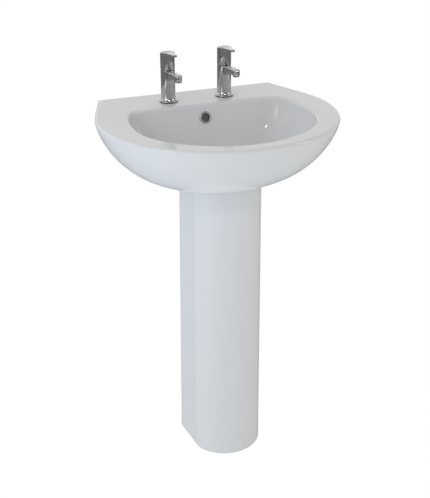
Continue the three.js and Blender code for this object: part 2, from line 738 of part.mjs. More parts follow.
function trapHead() {
  const outside = turned([
    [0, TRAP_HEAD_BOTTOM],
    [TRAP_HEAD_RADIUS, TRAP_HEAD_BOTTOM],
    [TRAP_HEAD_RADIUS, TRAP_HEAD_TOP - 6],
    [TRAP_HEAD_RADIUS - 3, TRAP_HEAD_TOP - 2],
    [NECK_RADIUS, TRAP_HEAD_TOP],
    [NECK_RADIUS, INLET_COLLAR_TOP - INLET_COLLAR_HEIGHT],
    [INLET_COLLAR_RADIUS, INLET_COLLAR_TOP - INLET_COLLAR_HEIGHT],
    [INLET_COLLAR_RADIUS, INLET_COLLAR_TOP],
    [0, INLET_COLLAR_TOP],
  ], 24);
  const bore = TRAP_HEAD_RADIUS - TRAP_WALL;
  const chamber = rod(bore, TRAP_HEAD_BOTTOM - OVERCUT, TRAP_HEAD_TOP - TRAP_WALL - 2, 24);
  const neck = rod(NECK_BORE, TRAP_HEAD_TOP - 10, INLET_COLLAR_TOP + OVERCUT);
  const arm = alongY(rod(TRAP_OUTLET_RADIUS, 20, OUTLET_END)).translate([0, 0, TRAP_OUTLET_HEIGHT]);
  const armBore = alongY(rod(TRAP_OUTLET_RADIUS - TRAP_WALL, 15, OUTLET_END + OVERCUT));
  const tools = [chamber, neck, armBore.translate([0, 0, TRAP_OUTLET_HEIGHT])];
  return cut(joined(outside, arm), ...tools);
}

function trapCup() {
  const collarLow = TRAP_HEAD_BOTTOM - 5;
  return turned([
    [0, TRAP_CUP_BOTTOM],
    [20, TRAP_CUP_BOTTOM + 1],
    [28, TRAP_CUP_BOTTOM + 6],
    [TRAP_CUP_RADIUS, TRAP_CUP_BOTTOM + 15],
    [TRAP_CUP_RADIUS, collarLow - 2],
    [TRAP_COLLAR_RADIUS, collarLow],
    [TRAP_COLLAR_RADIUS, TRAP_HEAD_BOTTOM + 14],
    [TRAP_HEAD_RADIUS + GAP, TRAP_HEAD_BOTTOM + 14],
    [TRAP_HEAD_RADIUS + GAP, TRAP_HEAD_BOTTOM - 2],
    [TRAP_CUP_RADIUS - TRAP_WALL, TRAP_HEAD_BOTTOM - 2],
    [TRAP_CUP_RADIUS - TRAP_WALL, TRAP_CUP_BOTTOM + 17],
    [TRAP_CUP_RADIUS - 2 * TRAP_WALL, TRAP_CUP_BOTTOM + 9],
    [0, TRAP_CUP_BOTTOM + 4],
  ], 24);
}

// Nut about +Z with an inner lip at one end and grip ribs outside.
function compressionNut(thread, lip, outer, low, lipLow, high) {
  const ringBody = turned([
    [thread, low],
    [outer, low],
    [outer, high],
    [lip, high],
    [lip, lipLow],
    [thread, lipLow],
  ], 24);
  const { count, halfWidth, height, margin } = NUT_RIBS;
  const [ribLow, ribHigh] = [Math.min(low, high) + margin, Math.max(low, high) - margin];
  const rib = box(-halfWidth, halfWidth, outer - 1, outer + height, ribLow, ribHigh);
  const turns = Array.from({ length: count }, (_, i) => rib.rotate([0, 0, (i * 360) / count]));
  return joined(ringBody, ...turns);
}

function trapParts() {
  const inletLip = INLET_COLLAR_TOP - INLET_COLLAR_HEIGHT - GAP;
  const [inletBore, neck] = [TAIL_RADIUS + GAP, NECK_RADIUS + GAP];
  const { radius, low, high } = INLET_NUT;
  const inletNut = compressionNut(inletBore, neck, radius, high, inletLip, low);
  const inletSeal = tube(18, INLET_COLLAR_RADIUS, INLET_COLLAR_TOP + GAP, TAIL_END - GAP, 24);
  const dipTube = tube(DIP_TUBE.bore, NECK_BORE - GAP, DIP_TUBE.low, TRAP_HEAD_TOP + DIP_TUBE.rise);
  const cupSeal = tube(28.2, TRAP_HEAD_RADIUS - GAP, TRAP_HEAD_BOTTOM - 1.7, TRAP_HEAD_BOTTOM - GAP, 24);
  const out = OUTLET_NUT;
  const [thread, lip] = [TRAP_OUTLET_RADIUS + GAP, OUTLET_END + out.lip];
  const nut = compressionNut(thread, out.bore, out.radius, out.low, lip, out.high);
  const outletNut = alongY(nut).translate([0, 0, TRAP_OUTLET_HEIGHT]);
  const outletSeal = alongY(tube(out.bore, 18.8, OUTLET_END + GAP, OUTLET_END + 3.2, 32));
  return [
    part('trap_inlet_nut', inletNut, whitePlastic),
    part('trap_inlet_seal', inletSeal, rubber),
    part('trap_head', trapHead(), whitePlastic),
    part('trap_dip_tube', dipTube, whitePlastic),
    part('trap_cup', trapCup(), whitePlastic),
    part('trap_cup_seal', cupSeal, rubber),
    part('trap_outlet_nut', outletNut, whitePlastic),
    part('trap_outlet_seal', outletSeal.translate([0, 0, TRAP_OUTLET_HEIGHT]), rubber),
  ];
}

// ---------------------------------------------------------------- taps

// Trumpet foot: from the thin base disc in to the straight body.
function footFlare() {
  const points = [];
  for (let i = 0; i <= FOOT_FLARE.steps; i += 1) {
    const angle = (i / FOOT_FLARE.steps) * (Math.PI / 2);
    const radius = TAP_RADIUS + FOOT_FLARE.reach * (1 - Math.sin(angle));
    points.push([radius, TAP_BODY_BOTTOM + 2.4 + FOOT_FLARE.rise * (1 - Math.cos(angle))]);
  }
  return points;
}

// Bar from the body's top forwards to a rounded end, rising a little on the way.
function spout() {
  const half = SPOUT_WIDTH / 2;
  const bend = -SPOUT_REACH + half;
  const plan = [[half, 0], [-half, 0]];
  const steps = 10;
  for (let i = 0; i <= steps; i += 1) {
    const angle = Math.PI + (i / steps) * Math.PI;
    plan.push([half * Math.cos(angle), bend + half * Math.sin(angle)]);
  }
  const side = [
    [-4, TAP_BODY_TOP - 1.5],
    [-TAP_RADIUS - 1.5, TAP_BODY_TOP - 1],
    [-30, TAP_BODY_TOP + SPOUT_RISE * 0.4],
    [-SPOUT_REACH + 14, TAP_BODY_TOP + SPOUT_RISE],
    [-SPOUT_REACH + 5, TAP_BODY_TOP + SPOUT_RISE - 0.4],
    [-SPOUT_REACH - 1, TAP_BODY_TOP + SPOUT_RISE - 3.5],
    [-SPOUT_REACH - 1, NOZZLE_BOTTOM],
    [NOZZLE_Y + 9, NOZZLE_BOTTOM],
    [-50, NOZZLE_BOTTOM - 1],
    [-32, NOZZLE_BOTTOM - 5],
    [-14, NOZZLE_BOTTOM - 12],
    [-4, NOZZLE_BOTTOM - 16],
  ];
  return prism(plan, 30, 90).intersect(prismAlongX(side, -half, half));
}

function tapBody() {
  const column = turned([
    [0, TAP_BODY_BOTTOM],
    [TAP_FLANGE_RADIUS, TAP_BODY_BOTTOM],
    [TAP_FLANGE_RADIUS, TAP_BODY_BOTTOM + 1.8],
    ...footFlare(),
    [TAP_RADIUS, TAP_BODY_TOP - 0.8],
    [TAP_RADIUS - 0.8, TAP_BODY_TOP],
    [0, TAP_BODY_TOP],
  ], 28);
  const chamber = rod(TAP_CHAMBER_RADIUS, TAP_CHAMBER_FLOOR, TAP_BODY_TOP + OVERCUT);
  const inlet = rod(TAP_TAIL_BORE, TAP_BODY_BOTTOM, TAP_CHAMBER_FLOOR + OVERCUT, 20);
  const socket = rod(TAP_TAIL_RADIUS + GAP, -OVERCUT, TAP_SOCKET_DEPTH + GAP);
  const waterLevel = NOZZLE_BOTTOM + WATERWAY_RADIUS + GAP;
  const waterway = alongY(rod(WATERWAY_RADIUS, NOZZLE_Y, 0, 12)).translate([0, 0, waterLevel]);
  const mouth = rod(NOZZLE_BORE, NOZZLE_BOTTOM - OVERCUT, NOZZLE_BOTTOM + AERATOR.rise + 1.5, 20);
  const nozzle = placed(mouth, 0, NOZZLE_Y, 0);
  return cut(joined(column, spout()), chamber, inlet, socket, waterway, nozzle);
}

function tapTail() {
  return tube(TAP_TAIL_BORE, TAP_TAIL_RADIUS, -TAP_TAIL_LENGTH, TAP_SOCKET_DEPTH);
}

function tapBackNut() {
  const bore = TAP_TAIL_RADIUS + GAP;
  const hex = hexNut(BACK_NUT.acrossFlats, bore, BACK_NUT.low, BACK_NUT.hexTop);
  const flange = tube(bore, BACK_NUT.radius, BACK_NUT.hexTop, BACK_NUT.top);
  return joined(hex, flange);
}

function topHatWasher() {
  const bore = TAP_TAIL_RADIUS + GAP;
  const sleeve = TAP_HOLE_RADIUS - GAP;
  const top = -DECK_THICKNESS - GAP;
  return turned([
    [bore, top - TOP_HAT.flange],
    [TOP_HAT.radius, top - TOP_HAT.flange],
    [TOP_HAT.radius, top],
    [sleeve, top],
    [sleeve, TOP_HAT.sleeveTop],
    [bore, TOP_HAT.sleeveTop],
  ]);
}

function valveBody() {
  const { radius, bore, floor, neckRadius, neckBore, neckRise } = VALVE_BODY;
  const low = TAP_CHAMBER_FLOOR + GAP;
  const neckTop = TAP_BODY_TOP + neckRise;
  return turned([
    [bore, low],
    [radius, low],
    [radius, TAP_BODY_TOP - 4],
    [neckRadius, TAP_BODY_TOP - 4],
    [neckRadius, neckTop],
    [neckBore, neckTop],
    [neckBore, floor],
    [bore, floor],
  ], 20);
}

// Ceramic disc with one half-moon port, so that a quarter turn opens or shuts it.
function valveDisc({ radius, low, thickness }) {
  const port = rod(radius - 3, low - 1, low + thickness + 1, 24);
  const half = box(0.8, radius, -radius, radius, low - 2, low + thickness + 2);
  return cut(rod(radius, low, low + thickness), port.intersect(half));
}

function spindle() {
  return turned([
    [0, SPINDLE.low],
    [SPINDLE.foot, SPINDLE.low],
    [SPINDLE.foot, SPINDLE.low + 4],
    [SPINDLE.radius, SPINDLE.low + 5],
    [SPINDLE.radius, SPINDLE.top],
    [0, SPINDLE.top],
  ], 16);
}

// Plan of the lever's cap: a disc with a tapering tongue towards -Y.
function leverPlan() {
  const tip = LEVER_TIP_RADIUS;
  const tipCentre = -LEVER_REACH + tip;
  const points = [];
  const steps = 18;
  for (let i = 0; i <= steps; i += 1) {
    const angle = THREE.MathUtils.degToRad(-48 + (i / steps) * 276);
    points.push([TAP_RADIUS * Math.cos(angle), TAP_RADIUS * Math.sin(angle)]);
  }
  points.push([-7.6, -24]);
  for (let i = 0; i <= 6; i += 1) {
    const angle = Math.PI + (i / 6) * Math.PI;
    points.push([tip * Math.cos(angle), tipCentre + tip * Math.sin(angle)]);
  }
  points.push([7.6, -24]);
  return points;
}

// Shallow dome on the lever's cap, over its disc.
function leverCrown() {
  const radius = TAP_RADIUS - 0.8;
  const dome = [[0, -LEVER_CROWN], [radius, -LEVER_CROWN]];
  for (const share of [1, 0.8, 0.6, 0.4, 0.2, 0]) {
    dome.push([radius * share, LEVER_CROWN * (1 - share * share)]);
  }
  return turned(dome, 28);
}

function lever() {
  const side = [
    [TAP_RADIUS, -LEVER_PLATE_THICKNESS],
    [TAP_RADIUS, 0],
    [-LEVER_REACH, 0],
    [-LEVER_REACH - 1, -LEVER_PLATE_THICKNESS + 1],
    [-LEVER_REACH + 7, -LEVER_PLATE_THICKNESS + 1],
    [-LEVER_REACH + 9, -3.6],
    [-TAP_RADIUS - 2, -LEVER_PLATE_THICKNESS],
  ];
  const rise = [-THREE.MathUtils.radToDeg(LEVER_TILT), 0, 0];
  const blade = joined(prismAlongX(side, -TAP_RADIUS, TAP_RADIUS), leverCrown()).rotate(rise);
  const reach = prism(leverPlan(), LEVER_BOTTOM, LEVER_TOP + LEVER_REACH);
  const cap = placed(blade, 0, 0, LEVER_TOP).intersect(reach);
  const hub = rod(TAP_RADIUS, LEVER_BOTTOM, LEVER_TOP - LEVER_PLATE_THICKNESS, 28);
  const cover = rod(HUB_BORE, LEVER_BOTTOM - OVERCUT, TAP_BODY_TOP + 8);
  const socket = rod(SPINDLE.radius + GAP, LEVER_BOTTOM, SPINDLE.top + GAP, 20);
  const screwHole = alongY(rod(LEVER_SCREW.radius + GAP, 3, TAP_RADIUS + OVERCUT, 12));
  return cut(joined(hub, cap), cover, socket, screwHole.translate([0, 0, LEVER_SCREW.height]));
}

function tapParts(prefix) {
  const sleeve = NOZZLE_BORE - GAP;
  const aerator = turned([
    [AERATOR.bore, NOZZLE_BOTTOM - AERATOR.drop],
    [AERATOR.radius, NOZZLE_BOTTOM - AERATOR.drop],
    [AERATOR.radius, NOZZLE_BOTTOM - GAP],
    [sleeve, NOZZLE_BOTTOM - GAP],
    [sleeve, NOZZLE_BOTTOM + AERATOR.rise],
    [AERATOR.bore, NOZZLE_BOTTOM + AERATOR.rise],
  ], 24);
  const [insertLow, insertTop] = [NOZZLE_BOTTOM - 1.6, NOZZLE_BOTTOM + AERATOR.rise - 1];
  const insert = rod(AERATOR.bore - GAP, insertLow, insertTop, 24);
  const holes = Array.from({ length: 6 }, (_, i) => (
    rod(0.8, 0, 80, 8).translate([3, 0, 0]).rotate([0, 0, i * 60])
  ));
  const screw = alongY(rod(LEVER_SCREW.radius, 4.6, 13, 12)).translate([0, 0, LEVER_SCREW.height]);
  const gasket = tube(BASE_GASKET.inner, BASE_GASKET.outer, GAP, TAP_BODY_BOTTOM - GAP);
  const name = (piece) => `${prefix}_${piece}`;
  return [
    part(name('tap_body'), tapBody(), chrome),
    part(name('tap_tail'), tapTail(), brass),
    part(name('base_gasket'), gasket, rubber),
    part(name('top_hat_washer'), topHatWasher(), nylon),
    part(name('back_nut'), tapBackNut(), brass),
    part(name('valve_body'), valveBody(), brass),
    part(name('fixed_disc'), valveDisc(FIXED_DISC), discCeramic),
    part(name('aerator_housing'), placed(aerator, 0, NOZZLE_Y, 0), chrome),
    part(name('flow_insert'), placed(cut(insert, ...holes), 0, NOZZLE_Y, 0), whitePlastic),
    part(name('lever'), lever(), chrome),
    part(name('spindle'), spindle(), brass),
    part(name('moving_disc'), valveDisc(MOVING_DISC), discCeramic),
    part(name('lever_screw'), screw, steel),
  ];
}

// ---------------------------------------------------------------- assembly

const sink = new THREE.Group();
sink.add(part('basin', basin(), glazedCeramic));
sink.add(part('pedestal', pedestal(), glazedCeramic));
sink.add(part('overflow_ring', overflowRing(), chrome));

for (const [name, side] of [['left', -1], ['right', 1]]) {
  sink.add(part(`wall_collar_${name}`, wallCollar(side), nylon));
  sink.add(part(`floor_collar_${name}`, floorCollar(side), nylon));
}

const drain = new THREE.Group();
drain.position.set(0, WASTE_Y, 0);
drain.add(...wasteParts(), ...trapParts());
sink.add(drain);

for (const [name, side] of [['hot', -1], ['cold', 1]]) {
  const tap = new THREE.Group();
  tap.position.set((side * TAP_SPACING) / 2, TAP_Y, RIM_HEIGHT);
  tap.add(...tapParts(name));
  sink.add(tap);
}

export default sink;
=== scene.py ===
import math

import bmesh
import bpy
from mathutils import Matrix, Vector


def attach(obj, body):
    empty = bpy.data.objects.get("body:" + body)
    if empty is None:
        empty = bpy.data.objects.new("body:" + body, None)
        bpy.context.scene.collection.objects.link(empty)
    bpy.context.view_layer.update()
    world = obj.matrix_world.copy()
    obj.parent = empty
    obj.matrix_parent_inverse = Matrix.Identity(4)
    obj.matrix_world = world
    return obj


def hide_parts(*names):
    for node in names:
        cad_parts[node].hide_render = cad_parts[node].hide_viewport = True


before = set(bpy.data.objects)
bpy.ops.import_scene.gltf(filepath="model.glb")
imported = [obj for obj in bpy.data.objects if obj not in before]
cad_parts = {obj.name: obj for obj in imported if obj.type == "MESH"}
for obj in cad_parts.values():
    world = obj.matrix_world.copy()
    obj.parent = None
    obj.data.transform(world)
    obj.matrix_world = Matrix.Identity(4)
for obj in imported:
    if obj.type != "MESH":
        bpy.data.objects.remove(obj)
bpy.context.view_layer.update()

# Pedestal basin with two lever taps. Lengths below are millimetres unless they say otherwise;
# meshes are written in metres. +Z is up, the wall is at +Y and the front at -Y.

MM = 0.001
GAP = 0.3
SLIVER = 2e-6  # metres: points nearer than this are one point
TINY = 1e-6

# ---- camera

IMAGE_WIDTH, IMAGE_HEIGHT = 430, 498
SENSOR = 36
# pixels, radians and metres
FOCAL_PX = 947.72
AXIS_PX = (226.37, 301.02)
CAMERA_AZIMUTH = -0.387166
CAMERA_ELEVATION = 0.48
CAMERA_DISTANCE = 2.29217
CAMERA_TARGET = Vector((0, -0.02296, 0.4))
CLIP_END = 100


def add_camera():
    camera = bpy.data.objects.new("camera", bpy.data.cameras.new("camera"))
    bpy.context.collection.objects.link(camera)
    back = Vector((
        math.sin(CAMERA_AZIMUTH) * math.cos(CAMERA_ELEVATION),
        -math.cos(CAMERA_AZIMUTH) * math.cos(CAMERA_ELEVATION),
        math.sin(CAMERA_ELEVATION),
    ))
    camera.location = CAMERA_TARGET + back * CAMERA_DISTANCE
    camera.rotation_euler = (-back).to_track_quat("-Z", "Y").to_euler()
    camera.data.sensor_width = SENSOR
    camera.data.lens = FOCAL_PX * SENSOR / IMAGE_HEIGHT
    camera.data.shift_x = (IMAGE_WIDTH / 2 - AXIS_PX[0]) / IMAGE_HEIGHT
    camera.data.shift_y = (AXIS_PX[1] - IMAGE_HEIGHT / 2) / IMAGE_HEIGHT
    camera.data.clip_end = CLIP_END
    bpy.context.scene.camera = camera


add_camera()
bpy.context.scene.view_settings.view_transform = "Standard"

# ---- materials


class Nodes:
    """A material's node tree with short calls to add and link nodes."""

    def __init__(self, name):
        self.material = bpy.data.materials.new(name)
        self.material.use_nodes = True
        self.tree = self.material.node_tree
        self.shader = self.tree.nodes["Principled BSDF"]
        self.coord = self.add("ShaderNodeTexCoord").outputs["Object"]

    def add(self, kind, **settings):
        node = self.tree.nodes.new(kind)
        for key, value in settings.items():
            setattr(node, key, value)
        return node

    def link(self, source, target):
        self.tree.links.new(source, target)

    def noise(self, scale, detail, stretch=None):
        node = self.add("ShaderNodeTexNoise")
        node.inputs["Scale"].default_value = scale
        node.inputs["Detail"].default_value = detail
        source = self.coord
        if stretch:
            mapping = self.add("ShaderNodeMapping")
            mapping.inputs["Scale"].default_value = stretch
            self.link(self.coord, mapping.inputs["Vector"])
            source = mapping.outputs["Vector"]
        self.link(source, node.inputs["Vector"])
        return node.outputs["Fac"]

    def ramp(self, factor, *stops):
        node = self.add("ShaderNodeValToRGB")
        elements = node.color_ramp.elements
        while len(elements) < len(stops):
            elements.new(0.5)
        for element, (position, colour) in zip(elements, stops):
            element.position = position
            element.color = (*colour, 1)
        self.link(factor, node.inputs["Fac"])
        return node.outputs["Color"]

    def spread(self, factor, low, high, start=0.3, end=0.7):
        node = self.add("ShaderNodeMapRange")
        node.inputs["From Min"].default_value = start
        node.inputs["From Max"].default_value = end
        node.inputs["To Min"].default_value = low
        node.inputs["To Max"].default_value = high
        self.link(factor, node.inputs["Value"])
        return node.outputs["Result"]

    def bump(self, height, strength, distance, below=None):
        node = self.add("ShaderNodeBump")
        node.inputs["Strength"].default_value = strength
        node.inputs["Distance"].default_value = distance
        self.link(height, node.inputs["Height"])
        if below is not None:
            self.link(below, node.inputs["Normal"])
        return node.outputs["Normal"]

    def mixed(self, factor, first, second):
        node = self.add("ShaderNodeMix", data_type="RGBA")
        self.link(factor, node.inputs["Factor"])
        self.link(first, node.inputs["A"])
        self.link(second, node.inputs["B"])
        return node.outputs["Result"]


def axis_mask(nodes, axis, start, end):
    """0 to 1 along one axis of the object, between two places in metres."""
    split = nodes.add("ShaderNodeSeparateXYZ")
    nodes.link(nodes.coord, split.inputs["Vector"])
    return nodes.spread(split.outputs[axis], 0, 1, start, end)


WALL_FACE_Y = (0.2366, 0.2371)  # metres: glazed before the first, bare from the second on
FOOT_FACE_Z = (0.0016, 0.0008)
BARE_ROUGHNESS = 0.8
GLAZE_IOR = 1.5
GLAZE_TONES = ((0.3, (0.775, 0.782, 0.793)), (0.7, (0.80, 0.80, 0.803)))
BARE_TONES = ((0.3, (0.62, 0.58, 0.52)), (0.7, (0.74, 0.71, 0.66)))
CHROME_TONES = ((0.3, (0.49, 0.49, 0.49)), (0.7, (0.54, 0.54, 0.54)))


def glazed_ceramic():
    """White glaze all over, but bare and rough on the wall face and under the foot."""
    nodes = Nodes("glazed_ceramic")
    glaze = nodes.ramp(nodes.noise(scale=2.2, detail=4), *GLAZE_TONES)
    biscuit = nodes.ramp(nodes.noise(scale=320, detail=5), *BARE_TONES)
    bare = nodes.add("ShaderNodeMath", operation="MAXIMUM")
    nodes.link(axis_mask(nodes, "Y", *WALL_FACE_Y), bare.inputs[0])
    nodes.link(axis_mask(nodes, "Z", *FOOT_FACE_Z), bare.inputs[1])
    tone = nodes.mixed(bare.outputs[0], glaze, biscuit)
    nodes.link(tone, nodes.shader.inputs["Base Color"])
    sheen = nodes.spread(nodes.noise(scale=14, detail=5), low=0.07, high=0.13)
    rough = nodes.add("ShaderNodeMix", data_type="FLOAT")
    rough.inputs["B"].default_value = BARE_ROUGHNESS
    nodes.link(bare.outputs[0], rough.inputs["Factor"])
    nodes.link(sheen, rough.inputs["A"])
    nodes.link(rough.outputs["Result"], nodes.shader.inputs["Roughness"])
    peel = nodes.bump(nodes.noise(scale=90, detail=2), strength=0.05, distance=0.0004)
    waves = nodes.bump(nodes.noise(scale=9, detail=2), strength=0.25, distance=0.002, below=peel)
    nodes.link(waves, nodes.shader.inputs["Normal"])
    nodes.shader.inputs["IOR"].default_value = GLAZE_IOR
    return nodes.material


def chrome():
    nodes = Nodes("chrome")
    tone = nodes.ramp(nodes.noise(scale=60, detail=4), *CHROME_TONES)
    nodes.link(tone, nodes.shader.inputs["Base Color"])
    nodes.shader.inputs["Metallic"].default_value = 1
    polish = nodes.spread(nodes.noise(scale=130, detail=6), low=0.04, high=0.10)
    nodes.link(polish, nodes.shader.inputs["Roughness"])
    grain = nodes.bump(nodes.noise(scale=240, detail=2), strength=0.03, distance=0.0002)
    nodes.link(grain, nodes.shader.inputs["Normal"])
    return nodes.material


def metal(name, dark, light, rough):
    """Turned metal with fine marks round it. rough is the (lowest, highest) roughness."""
    nodes = Nodes(name)
    tone = nodes.ramp(nodes.noise(scale=45, detail=5), (0.35, dark), (0.65, light))
    nodes.link(tone, nodes.shader.inputs["Base Color"])
    nodes.shader.inputs["Metallic"].default_value = 1
    marks = nodes.noise(scale=400, detail=3, stretch=(0.15, 0.15, 3))
    nodes.link(nodes.spread(marks, *rough), nodes.shader.inputs["Roughness"])
    nodes.link(nodes.bump(marks, strength=0.12, distance=0.0001), nodes.shader.inputs["Normal"])
    return nodes.material


def moulded(name, dark, light, rough, grain, relief, soft=0.0):
    """Rubber, plastic or pressed ceramic with a speckled skin; soft is its subsurface weight."""
    nodes = Nodes(name)
    tone = nodes.ramp(nodes.noise(scale=25, detail=4), (0.3, dark), (0.7, light))
    nodes.link(tone, nodes.shader.inputs["Base Color"])
    speck = nodes.noise(scale=grain, detail=3)
    nodes.link(nodes.spread(speck, *rough), nodes.shader.inputs["Roughness"])
    nodes.link(nodes.bump(speck, strength=relief, distance=0.0002), nodes.shader.inputs["Normal"])
    nodes.shader.inputs["Subsurface Weight"].default_value = soft
    nodes.shader.inputs["Subsurface Scale"].default_value = 0.002
    return nodes.material


SLOTS = {
    "glazed_ceramic": glazed_ceramic(),
    "chrome": chrome(),
    "brass": metal(
        "brass", dark=(0.50, 0.35, 0.15), light=(0.66, 0.49, 0.24), rough=(0.22, 0.38),
    ),
    "steel": metal(
        "steel", dark=(0.42, 0.42, 0.43), light=(0.55, 0.55, 0.56), rough=(0.2, 0.36),
    ),
    "rubber": moulded(
        "rubber", dark=(0.012, 0.012, 0.013), light=(0.03, 0.03, 0.03), rough=(0.6, 0.85),
        grain=700, relief=0.3,
    ),
    "white_plastic": moulded(
        "white_plastic", dark=(0.74, 0.74, 0.72), light=(0.82, 0.82, 0.80), rough=(0.3, 0.45),
        grain=900, relief=0.08, soft=0.1,
    ),
    "nylon": moulded(
        "nylon", dark=(0.60, 0.59, 0.54), light=(0.70, 0.69, 0.64), rough=(0.4, 0.6),
        grain=600, relief=0.15, soft=0.2,
    ),
    "disc_ceramic": moulded(
        "disc_ceramic", dark=(0.80, 0.78, 0.72), light=(0.88, 0.86, 0.80), rough=(0.18, 0.3),
        grain=500, relief=0.05,
    ),
}

# ---- meshes

SMOOTH_ANGLE = 35  # degrees


def mesh_object(name, points, faces):
    """An object from points in millimetres, smooth where its faces meet at less than an angle."""
    mesh = bpy.data.meshes.new(name)
    mesh.from_pydata([[c * MM for c in p] for p in points], [], faces)
    mesh.validate()
    thing = bpy.data.objects.new(name, mesh)
    bpy.context.collection.objects.link(thing)
    return shaded(thing, SMOOTH_ANGLE)


def shaded(thing, smooth):
    thing.data.shade_smooth()
    thing.data.set_sharp_from_angle(angle=math.radians(smooth))
    return thing


def loft(name, rings):
    """Closed skin through rings of (x, y, z), listed so that the faces look outwards."""
    count = len(rings[0])
    points = [p for ring in rings for p in ring]
    faces = []
    for level in range(len(rings) - 1):
        for i in range(count):
            a, b = level * count + i, level * count + (i + 1) % count
            faces.append((a, b, b + count, a + count))
    for first, flip in ((0, True), ((len(rings) - 1) * count, False)):
        end = points[first:first + count]
        points.append([sum(p[k] for p in end) / count for k in range(3)])
        for i in range(count):
            a, b = first + i, first + (i + 1) % count
            faces.append((b, a, len(points) - 1) if flip else (a, b, len(points) - 1))
    return mesh_object(name, points, faces)


CORNER_REACH = 0.42  # the most of a profile's edge that one corner's curve may use
CORNER_STEPS = (0, 0.3, 0.7, 1)
BLOCK_EDGE = 1.0


def softened(profile, radius, closed):
    """The same profile with each corner turned into a small curve."""
    made = []
    count = len(profile)
    for i, corner in enumerate(profile):
        if not closed and i in (0, count - 1):
            made.append(corner)
            continue
        here = Vector(corner)
        before, after = Vector(profile[i - 1]) - here, Vector(profile[(i + 1) % count]) - here
        if before.length < TINY or after.length < TINY:
            continue
        start = here + before.normalized() * min(radius, before.length * CORNER_REACH)
        end = here + after.normalized() * min(radius, after.length * CORNER_REACH)
        for t in CORNER_STEPS:
            at = start * (1 - t) ** 2 + here * (2 * t * (1 - t)) + end * t * t
            made.append((at.x, at.y))
    return made


def turned(name, profile, centre, segments=64, soften=0.35, wave=None, turn=None):
    """Body of revolution from (radius, height) pairs that run upwards on the outside.

    Its corners are rounded by soften. wave(angle, radius, height) gives the radius that a point
    gets in place of its own, and turn is a matrix applied before the body is placed.
    """
    on_axis = profile[0][0] == 0 and profile[-1][0] == 0
    path = softened(profile, soften, not on_axis) if soften else list(profile)
    if on_axis:
        path = path[1:-1] if path[0][0] == 0 else path
    points, faces = [], []
    for radius, height in path:
        for i in range(segments):
            angle = 2 * math.pi * i / segments
            reach = wave(angle, radius, height) if wave else radius
            points.append((reach * math.cos(angle), reach * math.sin(angle), height))
    for level in range(len(path) - 1 if on_axis else len(path)):
        low = level * segments
        high = ((level + 1) % len(path)) * segments
        for i in range(segments):
            j = (i + 1) % segments
            faces.append((low + i, low + j, high + j, high + i))
    if on_axis:
        points.append((0, 0, profile[0][1]))
        points.append((0, 0, profile[-1][1]))
        top = (len(path) - 1) * segments
        for i in range(segments):
            j = (i + 1) % segments
            faces.append((j, i, len(points) - 2))
            faces.append((top + i, top + j, len(points) - 1))
    move = Matrix.Translation(centre) @ (turn or Matrix.Identity(4))
    return mesh_object(name, [move @ Vector(p) for p in points], faces)


def rod(radius, low, high, centre, turn=None, segments=64):
    """Plain cylinder, used only to add to or cut from a piece."""
    profile = [(0, low), (radius, low), (radius, high), (0, high)]
    return turned("tool", profile, centre, segments, 0, None, turn)


def block(x0, x1, y0, y1, z0, z1, radius=3.0):
    """Block with rounded upright edges and softened top and bottom."""
    edge = BLOCK_EDGE
    rings = []
    for z, inset in ((z0, edge), (z0 + edge, 0), (z1 - edge, 0), (z1, edge)):
        sides = (x0 + inset, x1 - inset, y0 + inset, y1 - inset)
        rings.append(rounded_rectangle(*sides, z, radius, 4))
    return loft("tool", rings)


def rounded_rectangle(x0, x1, y0, y1, z, radius, steps=5):
    """Closed outline at one height, with each corner made in a number of steps."""
    points = []
    for cx, cy, start in (
        (x1 - radius, y1 - radius, 0),
        (x0 + radius, y1 - radius, 90),
        (x0 + radius, y0 + radius, 180),
        (x1 - radius, y0 + radius, 270),
    ):
        for i in range(steps + 1):
            angle = math.radians(start + 90 * i / steps)
            points.append((cx + radius * math.cos(angle), cy + radius * math.sin(angle), z))
    return points


def without_slivers(mesh):
    """Merges points that coincide and drops faces with no area, which booleans leave behind."""
    work = bmesh.new()
    work.from_mesh(mesh)
    bmesh.ops.remove_doubles(work, verts=work.verts, dist=SLIVER)
    bmesh.ops.triangulate(work, faces=work.faces)
    bmesh.ops.dissolve_degenerate(work, edges=work.edges, dist=SLIVER)
    work.to_mesh(mesh)
    work.free()


def combined(body, operation, *tools, smooth=SMOOTH_ANGLE):
    """Changes the body by one boolean with each tool. The tools are used up."""
    for tool in tools:
        step = body.modifiers.new("step", "BOOLEAN")
        step.operation = operation
        step.object = tool
        step.solver = "EXACT"
        graph = bpy.context.evaluated_depsgraph_get()
        result = bpy.data.meshes.new_from_object(body.evaluated_get(graph))
        body.modifiers.clear()
        body.data = result
        bpy.data.objects.remove(tool)
        without_slivers(body.data)
    body.data.materials.clear()
    shaded(body, smooth)


def piece(thing, name, slot, *nodes, body="sink"):
    """Names a finished piece, gives it its finish and sets what it rides on and replaces."""
    thing.name = name
    thing.data.name = name
    thing.data.materials.clear()
    thing.data.materials.append(SLOTS[slot])
    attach(thing, body)
    if nodes:
        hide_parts(*nodes)


# ---- plans

# Each plan is the right half of an outline: the back corner, the side's widest point and the
# middle of the front, joined by two Bezier curves whose handles are the start and end lengths.
# splay is the angle in radians at which the side leaves the back corner.

